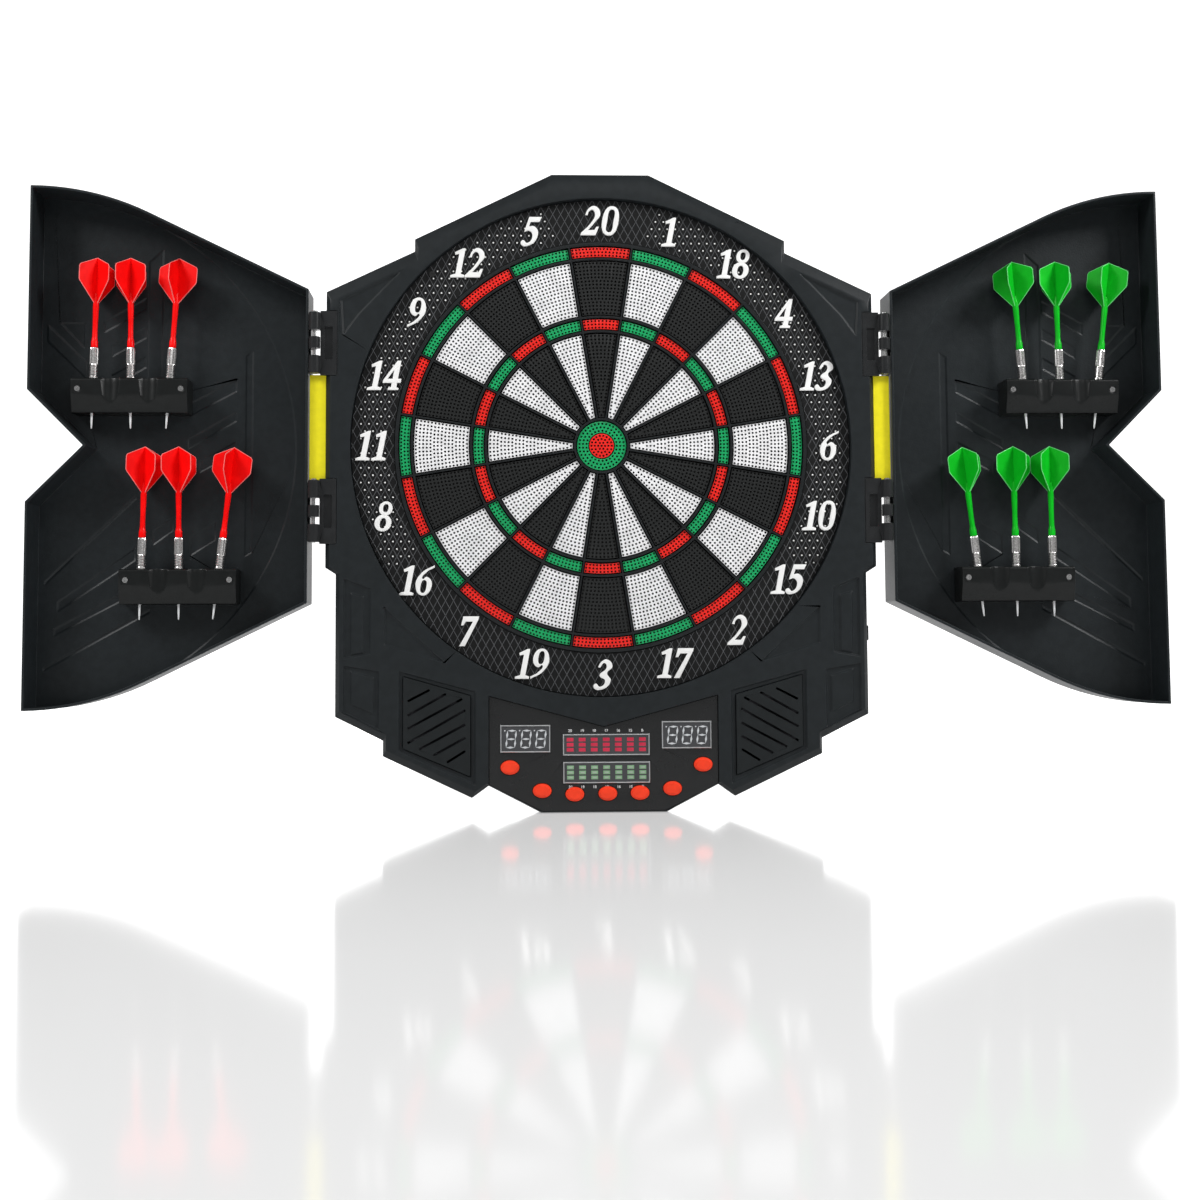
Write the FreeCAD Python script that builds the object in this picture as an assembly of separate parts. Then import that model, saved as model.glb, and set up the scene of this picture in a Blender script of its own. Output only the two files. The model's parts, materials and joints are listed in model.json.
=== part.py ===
"""Electronic dartboard in an open two-door cabinet, built as separate sub-parts.

Frame: +X right, +Z up, the front faces -Y. The wall plane is y = 0 and the
origin lies on it behind the centre of the bull. Millimetres throughout.
"""
import FreeCAD, Part
import math
import os

Vector = FreeCAD.Vector
os.makedirs("parts", exist_ok=True)

# ---------------------------------------------------------------- dimensions
# Depths, measured as y of each face (the front is the most negative)
REAR_WALL_T = 2.5
PARTING_Y = -14.0
FRONT_Y = -40.0
BEVEL_Y = -35.5
FRONT_WALL_T = 2.8
SIDE_WALL_T = 2.6

# Target
INNER_BULL_R = 10.5
OUTER_BULL_IN_R = 11.3
OUTER_BULL_R = 21.0
INNER_SINGLE_R = (24.6, 96.3)
TRIPLE_R = (100.4, 108.9)
OUTER_SINGLE_R = (112.9, 159.2)
DOUBLE_R = (163.0, 171.5)
SECTORS = 20
SECTOR_ANGLE = 360.0 / SECTORS
SEGMENT_FRONT_Y = -34.0
SEGMENT_BACK_Y = -24.6
NARROW_HALF_GAP = 1.4
WIDE_HALF_GAP = 1.7
WEB_FRONT_Y = -35.5
WEB_BACK_Y = -24.6
WEB_RING_W = 1.9
SPOKE_W = 1.4
WEB_OUTER_R = 175.5
SKIRT_R = 178.0
FLANGE_R = 196.0

# Catch ring and numerals
RING_IN_R = 176.0
RING_OUT_R = 212.3
RING_Y = (-34.0, -31.5)
RING_OPENING_R = 212.8
COLLAR_R = 215.3
LEDGE_R = 201.0
RING_SCREW_R = 206.0
RING_SCREW_ANGLES = (-28.0, 45.7, 134.3, 208.0)
NUMERAL_R = 194.1
NUMERAL_H = 25.0
NUMERAL_W = 12.0
NUMERAL_STROKE = 3.4
NUMERAL_T = 2.4
NUMERAL_LEAN = 0.22
NUMBERS = (20, 1, 18, 4, 13, 6, 10, 15, 2, 17, 3, 19, 7, 16, 8, 11, 14, 9, 12, 5)

# Target backing
BACKING_Y = (-20.5, -18.0)
MEMBRANE_Y = (-21.1, -20.5)
FOAM_Y = (-23.1, -21.1)
SHEET_R = 173.5

# Control panel
FASCIA_Y = (-38.4, -35.9)
FASCIA_OUTLINE = [(0, -237.3), (96, -211.5), (96, -284.9), (51.9, -307.2),
                  (-51.9, -307.2), (-96, -284.9), (-96, -211.5)]
SCORE_SIZE = (42.0, 23.0)
SCORE_CENTRES = ((-65.8, -246.9), (69.6, -244.4))
CRICKET_SIZE = (73.0, 18.0)
CRICKET_RED_CENTRE = (2.0, -252.2)
CRICKET_GREEN_CENTRE = (2.2, -275.3)
FRAME_W = 1.1
BUTTON_SIZE = (15.6, 11.8)
BUTTON_CENTRES = ((-78.7, -270.7), (-51.8, -290.1), (-24.6, -293.1), (3.0, -292.7),
                  (30.0, -292.3), (57.3, -288.9), (83.2, -269.2))
BUTTON_FRONT_Y = -41.2
BUTTON_STEM_Y = -27.2
SWITCH_Y = (-25.3, -20.0)
BOARD_Y = (-20.0, -18.4)

# Doors
DOOR_HINGE_X = 248.0
DOOR_OUTER_X = 482.5
DOOR_HINGE_Z = 133.0
DOOR_SLOPE = 0.485
DOOR_ARC_X = 383.0
NOTCH_X = 435.5
NOTCH_Z = 47.3
DOOR_RIM_Y = -40.5
DOOR_BACK_Y = -4.5
DOOR_PANEL_T = 2.4
DOOR_RIM_T = 2.2
DISC_R = 221.0
DISC_DEPTH = 1.0
RELIEF_DEPTH = 0.9
RELIEF_SLOPE = 1.3

# Hinges
HINGE_X = 242.8
HINGE_Y = -40.5
HINGE_ZS = (86.9, -55.9)
KNUCKLE_R = 4.75
PIN_R = 1.5
PIN_CLEARANCE = 0.07

# Dart holders and darts
HOLDER_SIZE = (98.0, 29.7)
HOLDER_CENTRES = ((400.0, 43.9), (357.6, -118.3))
HOLDER_PITCH = 32.0
HOLDER_SCREW_X = 43.4
HOLDER_SCREW_DZ = 5.5
HOLDER_FRONT_Y = -31.0
DART_Y = -24.0
DART_LENGTH = 147.0
TIP_BELOW_HOLDER = 13.0
SHOULDER_H = 27.0
BARREL_R = 3.75
BARREL_TOP_H = 69.5
SHAFT_R = 2.5
WING_R = 17.6
WING_T = 0.8
SOCKET_R = 4.15
# lean of each dart towards the housing and turn of its flight, in degrees,
# upper holder from the outside in, then the lower holder
DARTS_LEFT = ((1.3, 44), (-0.6, 35), (3.8, 13), (1.3, 50), (-0.6, 43), (6.6, 14))
DARTS_RIGHT = ((-6.7, 55), (1.0, 24), (3.9, 56), (0.3, 46), (0.2, 21), (6.2, 23))


# ------------------------------------------------------------------- helpers
def polygon_wire(points, y):
    """Closed wire through (x, z) points in the plane at this y."""
    corners = [Vector(x, y, z) for x, z in points]
    return Part.makePolygon(corners + [corners[0]])


def prism(points, y_front, y_back):
    """Polygon in (x, z), extruded from y_front to y_back."""
    face = Part.Face(polygon_wire(points, y_front))
    return face.extrude(Vector(0, y_back - y_front, 0))


def frustum(front_points, y_front, back_points, y_back):
    """Solid between two polygons with the same number of corners."""
    wires = [polygon_wire(front_points, y_front), polygon_wire(back_points, y_back)]
    return Part.makeLoft(wires, True, True)


def disc(radius, y_front, y_back, x=0.0, z=0.0):
    """Round bar along Y."""
    return Part.makeCylinder(radius, y_back - y_front, Vector(x, y_front, z), Vector(0, 1, 0))


def ring(inner, outer, y_front, y_back):
    """Flat ring about the bull's centre."""
    return disc(outer, y_front, y_back).cut(disc(inner, y_front - 1, y_back + 1))


def oval(width, height, y_front, y_back, x, z):
    """Elliptical bar along Y."""
    centre = Vector(x, y_front, z)
    ellipse = Part.Ellipse(centre + Vector(width / 2, 0, 0), centre + Vector(0, 0, height / 2), centre)
    face = Part.Face(Part.Wire(ellipse.toShape()))
    return face.extrude(Vector(0, y_back - y_front, 0))


def box(x0, x1, y0, y1, z0, z1):
    """Box between two corners."""
    return Part.makeBox(x1 - x0, y1 - y0, z1 - z0, Vector(x0, y0, z0))


def rectangle(width, height, x, z):
    """Corners of a rectangle about a centre."""
    w = width / 2
    h = height / 2
    return [(x - w, z - h), (x + w, z - h), (x + w, z + h), (x - w, z + h)]


def mirrored(shape):
    """The same shape on the other side of the middle plane."""
    return shape.mirror(Vector(0, 0, 0), Vector(1, 0, 0))


def both_sides(shape):
    """A right-hand shape and its mirror image."""
    return [shape, mirrored(shape)]


def inset(points, distances):
    """Polygon with each edge moved inwards by its own distance, corners mitred."""
    count = len(points)
    if not isinstance(distances, (list, tuple)):
        distances = [distances] * count
    area = sum(points[i][0] * points[(i + 1) % count][1] - points[(i + 1) % count][0] * points[i][1]
               for i in range(count))
    side = 1.0 if area > 0 else -1.0
    lines = []
    for i in range(count):
        (x0, z0), (x1, z1) = points[i], points[(i + 1) % count]
        length = math.hypot(x1 - x0, z1 - z0)
        nx = -(z1 - z0) / length * side
        nz = (x1 - x0) / length * side
        lines.append((nx, nz, nx * x0 + nz * z0 + distances[i]))
    corners = []
    for i in range(count):
        ax, az, a = lines[i - 1]
        bx, bz, b = lines[i]
        det = ax * bz - az * bx
        corners.append(((a * bz - az * b) / det, (ax * b - a * bx) / det))
    return corners


def pocket(points, y_surface, depth, slope):
    """Cutter for a shallow recess in a face that looks along -Y, with sloped walls."""
    lead = 0.5
    mouth = inset(points, -slope * lead / depth)
    return frustum(mouth, y_surface - lead, inset(points, slope), y_surface + depth)


def pad(points, y_base, height, slope):
    """Raised panel with sloped walls on a face that looks along -Y."""
    return frustum(inset(points, slope), y_base - height, points, y_base)


def fuse(shapes):
    """One solid out of several that touch or overlap."""
    return shapes[0].multiFuse(shapes[1:]).removeSplitter()


def cut(shape, tools):
    """Shape less every tool."""
    return shape.cut(Part.makeCompound(tools))


def export(name, shapes):
    """Write a sub-part, checking that its solids are closed and valid."""
    if not isinstance(shapes, (list, tuple)):
        shapes = [shapes]
    solids = [solid for shape in shapes for solid in shape.Solids]
    for solid in solids:
        if not solid.isValid():
            print("INVALID", name)
    result = solids[0] if len(solids) == 1 else Part.makeCompound(solids)
    result.exportStep(f"parts/{name}.step")
    print(f"{name}: {len(solids)} solid(s), {result.Volume / 1000:.1f} cm3")


# ------------------------------------------------------------------- housing
# right-hand half of the outline from the top, and how far each edge's bevel
# reaches in; the edge starts at the point on its line
HALF_OUTLINE = [(41.6, 234.3, 9), (158.6, 177.4, 3), (158.6, 166.8, 9), (233.4, 131.5, 4),
                (233.4, -103.2, 3), (224.6, -108.7, 4), (224.6, -228.0, 6), (184.7, -248.0, 3),
                (184.7, -261.0, 6), (110.4, -296.0, 3), (96.4, -286.0, 1.2), (52.6, -308.6, 1.2)]
OUTLINE = [(x, z) for x, z, bevel in HALF_OUTLINE] + [(-x, z) for x, z, bevel in reversed(HALF_OUTLINE)]
RIGHT_BEVELS = [bevel for x, z, bevel in HALF_OUTLINE]
BEVELS = RIGHT_BEVELS + RIGHT_BEVELS[-2::-1] + [9]
TOP_BEVEL = 9

CORNER_RECESS = [(221.0, 124.0), (169.0, 149.5), (205.0, 112.0), (219.0, 93.0)]
LOWER_RECESS = [(183.8, -136.3), (132.0, -183.8), (183.8, -168.5)]
TALL_RECESS = [(217.8, -112.0), (217.8, -180.0), (194.8, -176.0), (194.8, -121.0)]
TALL_BAR = [(212.0, -124.0), (212.0, -177.0), (200.5, -175.0), (200.5, -127.0)]
SIDE_RECESS = [(217.8, -185.0), (217.8, -224.6), (187.7, -239.4), (187.7, -190.0)]
SIDE_PANEL = [(211.8, -189.2), (211.8, -217.8), (191.8, -227.0), (191.8, -195.0)]
GRILLE_RECESS = [(171.6, -189.8), (171.6, -256.8), (107.1, -285.7), (107.1, -207.2)]
GRILLE_PLATE = [(167.7, -194.8), (167.7, -254.3), (111.6, -278.0), (111.6, -211.0)]
GRILLE_SLOTS = [((163.8, -215.2), (145.6, -205.9)), ((163.8, -227.1), (132.0, -209.3)),
                ((163.8, -238.1), (118.4, -213.5)), ((163.8, -250.0), (115.9, -222.9)),
                ((154.1, -255.1), (115.9, -234.7)), ((142.2, -260.2), (115.9, -245.8)),
                ((131.2, -266.2), (115.9, -256.8))]
BOSSES = [(0.0, 222.5), (118.0, 189.0), (214.0, 105.0), (214.0, -85.0), (205.0, -205.0), (118.0, -277.0)]
BOSS_PLACES = BOSSES + [(-x, z) for x, z in BOSSES if x]
BOSS_R = 4.2
SCREW_R = 1.5
KEYHOLE_XS = (-120.0, 120.0)
KEYHOLE_Z = 110.0
KEYHOLE_R = 4.5

# The rear cover stops short of the housing's foot, where the housing has a lip of its own
COVER_FOOT_Z = -296.0
COVER_HALF = [(x, z) for x, z, bevel in HALF_OUTLINE if z >= COVER_FOOT_Z] + [(77.0, COVER_FOOT_Z)]
COVER_OUTLINE = COVER_HALF + [(-x, z) for x, z in reversed(COVER_HALF)]
LIP_HALF = [(75.0, COVER_FOOT_Z + 3.0), (75.0, COVER_FOOT_Z), (52.0, -307.6)]
LIP = LIP_HALF + [(-x, z) for x, z in reversed(LIP_HALF)]

# Small block on the right-hand side, and the power socket under the rear cover
SIDE_BLOCK_X = (223.0, 226.4)
SIDE_BLOCK_Y = (-32.8, -21.2)
SIDE_BLOCK_Z = (-166.0, -153.5)
SOCKET_X = (34.0, 46.5)
SOCKET_Y = (-12.6, -1.0)
SOCKET_FOOT_Z = -307.6
SOCKET_H = 17.0
JACK_R = 3.2
JACK_DEPTH = 9.0


def ring_screw_places():
    """Where the four screws hold the catch ring down."""
    for angle in RING_SCREW_ANGLES:
        turn = math.radians(angle)
        yield RING_SCREW_R * math.cos(turn), RING_SCREW_R * math.sin(turn)


def front_housing():
    """Moulded bezel: bevelled front, side walls, ring opening, recesses and bosses."""
    wall = FRONT_Y + FRONT_WALL_T
    inner_bevel_y = BEVEL_Y + SIDE_WALL_T
    shell = fuse([prism(OUTLINE, BEVEL_Y, PARTING_Y),
                  frustum(inset(OUTLINE, BEVELS), FRONT_Y, OUTLINE, BEVEL_Y)])
    inner = inset(OUTLINE, SIDE_WALL_T)
    inner_front = inset(OUTLINE, [max(bevel, SIDE_WALL_T) + 0.8 for bevel in BEVELS])
    cavity = fuse([prism(inner, inner_bevel_y, PARTING_Y + 1),
                   frustum(inner_front, wall, inner, inner_bevel_y)])
    shell = shell.cut(cavity)
    collar = fuse([ring(RING_OPENING_R, COLLAR_R, FRONT_Y + 1, RING_Y[1]),
                   ring(LEDGE_R, COLLAR_R, RING_Y[1], RING_Y[1] + 2.3)])
    bosses = [disc(BOSS_R, wall - 0.5, PARTING_Y, x, z) for x, z in BOSS_PLACES]
    shell = cut(shell, [disc(RING_OPENING_R, FRONT_Y - 1, wall + 0.5)])
    block = box(*SIDE_BLOCK_X, *SIDE_BLOCK_Y, *SIDE_BLOCK_Z)
    lip = prism(LIP, PARTING_Y - SIDE_WALL_T, PARTING_Y)
    shell = fuse([shell, collar, block, lip] + bosses)
    clearance = 0.3
    tools = [prism(inset(FASCIA_OUTLINE, -clearance), FRONT_Y - 1, FASCIA_Y[1] + 0.1)]
    tools += [disc(SCREW_R - 0.2, PARTING_Y - 14, PARTING_Y + 1, x, z) for x, z in BOSS_PLACES]
    tools += [disc(SCREW_R + 0.2, RING_Y[1] - 1, RING_Y[1] + 3, x, z) for x, z in ring_screw_places()]
    for outline, depth in ((CORNER_RECESS, 1.6), (LOWER_RECESS, 1.6), (TALL_RECESS, 1.8),
                           (SIDE_RECESS, 1.8), (GRILLE_RECESS, 1.8)):
        tools += both_sides(pocket(outline, FRONT_Y, depth, 1.2))
    tools += both_sides(prism(inset(GRILLE_PLATE, -clearance), FRONT_Y - 1, wall + 1))
    for z in HINGE_ZS:
        tools += both_sides(box(223.8, 236.0, FRONT_Y - 1, FRONT_Y + 3.8, z - 27.8, z + 27.8))
    shell = cut(shell, tools)
    pads = []
    for outline, height in ((TALL_BAR, 1.5), (SIDE_PANEL, 1.5)):
        pads += both_sides(pad(outline, FRONT_Y + 1.8, height, 1.3))
    return fuse([shell] + pads)


def rear_cover():
    """Shallow tray that closes the back, with posts for the backing plate and two keyholes."""
    outer = inset(COVER_OUTLINE, 1.0)
    inner = inset(COVER_OUTLINE, 3.6)
    tray = prism(outer, PARTING_Y, 0).cut(prism(inner, PARTING_Y - 1, -REAR_WALL_T))
    posts = [disc(4.0, BACKING_Y[1], -REAR_WALL_T, 0, 0)]
    for step in range(8):
        turn = math.radians(22.5 + 45 * step)
        posts.append(disc(4.0, BACKING_Y[1], -REAR_WALL_T, 150 * math.cos(turn), 150 * math.sin(turn)))
    posts += [disc(3.0, BOARD_Y[1], -REAR_WALL_T, x, z) for x in (-80, 80) for z in (-276, -246)]
    posts += [disc(BOSS_R, PARTING_Y, -REAR_WALL_T, x, z) for x, z in BOSS_PLACES]
    tray = fuse([tray] + posts)
    tools = []
    for x, z in BOSS_PLACES:
        tools.append(disc(SCREW_R + 0.2, PARTING_Y - 1, 1, x, z))
        tools.append(disc(3.2, -2.2, 1, x, z))
    for x in KEYHOLE_XS:
        tools.append(disc(KEYHOLE_R, -REAR_WALL_T - 1, 1, x, KEYHOLE_Z))
        tools.append(box(x - 2.5, x + 2.5, -REAR_WALL_T - 1, 1, KEYHOLE_Z, KEYHOLE_Z + 10))
        tools.append(disc(2.5, -REAR_WALL_T - 1, 1, x, KEYHOLE_Z + 10))
    clearance = 0.3
    tools.append(box(SOCKET_X[0] - clearance, SOCKET_X[1] + clearance, SOCKET_Y[0] - clearance,
                     SOCKET_Y[1] + clearance, COVER_FOOT_Z - 1, SOCKET_FOOT_Z + SOCKET_H + clearance))
    return cut(tray, tools)


def rear_screws():
    """Screws that join the rear cover to the housing."""
    screws = []
    for x, z in BOSS_PLACES:
        screws.append(fuse([disc(SCREW_R - 0.2, PARTING_Y - 10, -2.2, x, z), disc(2.9, -2.2, -0.5, x, z)]))
    return screws


def ring_screws():
    """Screws that hold the catch ring to its ledge."""
    screws = []
    for x, z in ring_screw_places():
        head = disc(2.4, RING_Y[0] - 1.4, RING_Y[0], x, z)
        slot = box(x - 1.6, x + 1.6, RING_Y[0] - 2, RING_Y[0] - 0.8, z - 0.3, z + 0.3)
        shank = disc(SCREW_R, RING_Y[0], RING_Y[1] + 3.5, x, z)
        screws.append(fuse([head, shank]).cut(slot))
    return screws


def catch_ring():
    """Flat ring round the target that carries the numerals."""
    tools = [disc(SCREW_R + 0.1, RING_Y[0] - 1, RING_Y[1] + 1, x, z) for x, z in ring_screw_places()]
    return cut(ring(RING_IN_R, RING_OUT_R, RING_Y[0], RING_Y[1]), tools)


# -------------------------------------------------------------------- target
def sector_face(inner, outer, centre_angle, half_gap, y):
    """One sector between two radii, its sides parallel to the spokes beside it."""
    start = math.radians(centre_angle - SECTOR_ANGLE / 2)
    end = math.radians(centre_angle + SECTOR_ANGLE / 2)
    middle = math.radians(centre_angle)

    def point(radius, angle):
        return Vector(radius * math.cos(angle), y, radius * math.sin(angle))

    trim_out = math.asin(half_gap / outer)
    trim_in = math.asin(half_gap / inner)
    outer_arc = Part.Arc(point(outer, start + trim_out), point(outer, middle), point(outer, end - trim_out))
    inner_arc = Part.Arc(point(inner, end - trim_in), point(inner, middle), point(inner, start + trim_in))
    sides = [Part.LineSegment(point(outer, end - trim_out), point(inner, end - trim_in)),
             Part.LineSegment(point(inner, start + trim_in), point(outer, start + trim_out))]
    edges = [outer_arc.toShape(), sides[0].toShape(), inner_arc.toShape(), sides[1].toShape()]
    return Part.Face(Part.Wire(edges))


def segments(radii, half_gap, first):
    """Every second segment of one ring; first is 0 for the sector at the top, 1 for its neighbour."""
    shapes = []
    for index in range(first, SECTORS, 2):
        face = sector_face(radii[0], radii[1], 90.0 - index * SECTOR_ANGLE, half_gap, SEGMENT_FRONT_Y)
        shapes.append(face.extrude(Vector(0, SEGMENT_BACK_Y - SEGMENT_FRONT_Y, 0)))
    return shapes


def spider():
    """Web of rings and spokes, with the skirt and flange that carry it."""
    walls = []
    for gap in ((OUTER_BULL_R, INNER_SINGLE_R[0]), (INNER_SINGLE_R[1], TRIPLE_R[0]),
                (TRIPLE_R[1], OUTER_SINGLE_R[0]), (OUTER_SINGLE_R[1], DOUBLE_R[0])):
        middle = (gap[0] + gap[1]) / 2
        walls.append(ring(middle - WEB_RING_W / 2, middle + WEB_RING_W / 2, WEB_FRONT_Y, WEB_BACK_Y))
    walls.append(ring(DOUBLE_R[1] + 1, WEB_OUTER_R, WEB_FRONT_Y, WEB_BACK_Y))
    walls.append(ring(WEB_OUTER_R - 1, SKIRT_R, RING_Y[1], BACKING_Y[0]))
    walls.append(ring(WEB_OUTER_R - 1, FLANGE_R, RING_Y[1], RING_Y[1] + 2.4))
    hub = (OUTER_BULL_R + INNER_SINGLE_R[0]) / 2
    for index in range(SECTORS):
        spoke = box(hub, DOUBLE_R[1] + 2, WEB_FRONT_Y, WEB_BACK_Y, -SPOKE_W / 2, SPOKE_W / 2)
        spoke.rotate(Vector(0, 0, 0), Vector(0, 1, 0), (index + 0.5) * SECTOR_ANGLE)
        walls.append(spoke)
    return fuse(walls)


def backing_plate():
    """Stiff plate behind the target, on the rear cover's posts."""
    return disc(SKIRT_R, BACKING_Y[0], BACKING_Y[1])


# ------------------------------------------------------------------ numerals
# strokes of each digit on a grid 2 wide and 4 high
DIGITS = {
    0: [(0, 0), (2, 0), (2, 4), (0, 4), (0, 0)], 1: [(1, 0), (1, 4), (0.2, 3.4)],
    2: [(0, 4), (2, 4), (2, 2), (0, 0), (2, 0)], 3: [(0, 4), (2, 4), (1, 2.2), (2, 1.4), (2, 0), (0, 0)],
    4: [(1.6, 0), (1.6, 4), (0, 1.2), (2, 1.2)], 5: [(2, 4), (0, 4), (0, 2.2), (2, 2.2), (2, 0), (0, 0)],
    6: [(2, 4), (0, 4), (0, 0), (2, 0), (2, 2), (0, 2)], 7: [(0, 4), (2, 4), (0.6, 0)],
    8: [(0, 0), (2, 0), (2, 4), (0, 4), (0, 0), (0, 2), (2, 2)],
    9: [(0, 0), (2, 0), (2, 4), (0, 4), (0, 2), (2, 2)],
}


def stroke(start, end, y):
    """Straight bar of the numeral's stroke width with round ends."""
    (x0, z0), (x1, z1) = start, end
    length = math.hypot(x1 - x0, z1 - z0)
    bar = box(0, length, y - NUMERAL_T, y, -NUMERAL_STROKE / 2, NUMERAL_STROKE / 2)
    bar.rotate(Vector(0, 0, 0), Vector(0, 1, 0), -math.degrees(math.atan2(z1 - z0, x1 - x0)))
    bar.translate(Vector(x0, 0, z0))
    ends = [disc(NUMERAL_STROKE / 2, y - NUMERAL_T, y, x, z) for x, z in (start, end)]
    return [bar] + ends


def digit(value, x, z, y):
    """One leaning digit about a centre."""
    width = NUMERAL_W - NUMERAL_STROKE
    height = NUMERAL_H - NUMERAL_STROKE
    points = []
    for column, row in DIGITS[value]:
        up = (row / 4 - 0.5) * height
        points.append((x + (column / 2 - 0.5) * width * 0.8 + up * NUMERAL_LEAN, z + up))
    bars = []
    for start, end in zip(points, points[1:]):
        bars += stroke(start, end, y)
    return fuse(bars)


def numerals():
    """The twenty numbers, upright, at the middle of the catch ring."""
    shapes = []
    for index, number in enumerate(NUMBERS):
        turn = math.radians(90.0 - index * SECTOR_ANGLE)
        x = NUMERAL_R * math.cos(turn)
        z = NUMERAL_R * math.sin(turn)
        text = str(number)
        for place, character in enumerate(text):
            offset = (place - (len(text) - 1) / 2) * (NUMERAL_W + 1.8)
            shapes.append(digit(int(character), x + offset, z, RING_Y[0]))
    return shapes


# ------------------------------------------------------------- control panel
def control_fascia():
    """Glossy plate with display windows and button holes, on rear posts."""
    plate = prism(FASCIA_OUTLINE, FASCIA_Y[0], FASCIA_Y[1])
    posts = [disc(2.5, FASCIA_Y[1] - 0.5, BOARD_Y[0], x, z) for x in (-89.5, 89.5) for z in (-281, -229)]
    plate = fuse([plate] + posts)
    clearance = 0.1
    tools = []
    for centre, size in display_places():
        window = rectangle(size[0] + 2 * clearance, size[1] + 2 * clearance, centre[0], centre[1])
        tools.append(prism(window, FASCIA_Y[0] - 1, FASCIA_Y[1] + 1))
    for x, z in BUTTON_CENTRES:
        hole = 2 * 0.4
        tools.append(oval(BUTTON_SIZE[0] + hole, BUTTON_SIZE[1] + hole, FASCIA_Y[0] - 1, FASCIA_Y[1] + 1, x, z))
    return cut(plate, tools)


def display_places():
    """Centre and outer size of the four display frames."""
    places = [(centre, SCORE_SIZE) for centre in SCORE_CENTRES]
    places += [(CRICKET_RED_CENTRE, CRICKET_SIZE), (CRICKET_GREEN_CENTRE, CRICKET_SIZE)]
    return places


def display_frames():
    """Silver frames round the displays."""
    frames = []
    for centre, size in display_places():
        outer = rectangle(size[0], size[1], centre[0], centre[1])
        frame = frustum(inset(outer, 0.5), FASCIA_Y[0] - 0.8, outer, FASCIA_Y[0] - 0.3)
        frame = fuse([frame, prism(outer, FASCIA_Y[0] - 0.3, FASCIA_Y[1])])
        frames.append(frame.cut(prism(inset(outer, FRAME_W), FASCIA_Y[0] - 2, FASCIA_Y[1] + 1)))
    return frames


def display_module(centre, size):
    """Display block that fills its frame and stands on the circuit board."""
    return prism(inset(rectangle(size[0], size[1], centre[0], centre[1]), FRAME_W + 0.05),
                 FASCIA_Y[0], BOARD_Y[0])


def button(x, z):
    """Oval cap with a retaining flange and a stem to its switch."""
    cap = oval(BUTTON_SIZE[0], BUTTON_SIZE[1], BUTTON_FRONT_Y + 1, FASCIA_Y[1] + 0.4, x, z)
    crown = oval(BUTTON_SIZE[0] - 3, BUTTON_SIZE[1] - 3, BUTTON_FRONT_Y, BUTTON_FRONT_Y + 1.2, x, z)
    flange = oval(BUTTON_SIZE[0] + 3, BUTTON_SIZE[1] + 3, FASCIA_Y[1] + 0.35, FASCIA_Y[1] + 1.4, x, z)
    stem = disc(2.5, FASCIA_Y[1] + 1, BUTTON_STEM_Y, x, z)
    return fuse([cap, crown, flange, stem])


def button_switches():
    """Tact switches on the board under the buttons."""
    switches = []
    for x, z in BUTTON_CENTRES:
        base = box(x - 3, x + 3, SWITCH_Y[1] - 3.5, SWITCH_Y[1], z - 3, z + 3)
        switches.append(fuse([base, disc(1.7, SWITCH_Y[0], SWITCH_Y[1] - 3, x, z)]))
    return switches


def circuit_board():
    """Board behind the fascia that carries displays and switches."""
    outline = [(-94, -225), (94, -225), (94, -284), (60, -300), (-60, -300), (-94, -284)]
    return prism(outline, BOARD_Y[0], BOARD_Y[1])


# ------------------------------------------------------- speakers and socket
def speaker_grille():
    """Slotted plate over the right-hand speaker."""
    plate = prism(GRILLE_PLATE, FRONT_Y + 0.2, FRONT_Y + 3.2)
    tools = []
    slot_w = 1.9
    for (x0, z0), (x1, z1) in GRILLE_SLOTS:
        length = math.hypot(x1 - x0, z1 - z0)
        slot = box(0, length, FRONT_Y - 1, FRONT_Y + 5, -slot_w / 2, slot_w / 2)
        slot.rotate(Vector(0, 0, 0), Vector(0, 1, 0), -math.degrees(math.atan2(z1 - z0, x1 - x0)))
        slot.translate(Vector(x0, 0, z0))
        tools.append(slot)
    return cut(plate, tools)


def speaker():
    """Round speaker behind the right-hand grille: flange, basket and magnet."""
    front = FRONT_Y + 3.2
    flange = disc(26.0, front, front + 2)
    basket = Part.makeCone(24.0, 14.0, 9.0, Vector(0, front + 2, 0), Vector(0, 1, 0))
    magnet = disc(14.0, front + 11, front + 19)
    unit = fuse([flange, basket, magnet])
    hollow = Part.makeCone(22.5, 6.0, 7.0, Vector(0, front - 0.01, 0), Vector(0, 1, 0))
    unit = unit.cut(hollow)
    unit.translate(Vector(139.6, 0, -236.0))
    return unit


def power_socket():
    """Socket for a barrel plug, hung under the rear cover and hidden by the lip from the front."""
    body = box(SOCKET_X[0], SOCKET_X[1], SOCKET_Y[0], SOCKET_Y[1], SOCKET_FOOT_Z, SOCKET_FOOT_Z + SOCKET_H)
    centre = Vector(sum(SOCKET_X) / 2, sum(SOCKET_Y) / 2, SOCKET_FOOT_Z - 1)
    return body.cut(Part.makeCylinder(JACK_R, JACK_DEPTH + 1, centre))


# -------------------------------------------------------------------- hinges
def knuckle(z0, z1, bore):
    """Hinge barrel about the right-hand hinge axis, with a bore for the pin."""
    centre = Vector(HINGE_X, HINGE_Y, z0)
    barrel = Part.makeCylinder(KNUCKLE_R, z1 - z0, centre)
    return barrel, Part.makeCylinder(bore, z1 - z0 + 2, centre - Vector(0, 0, 1))


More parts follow.
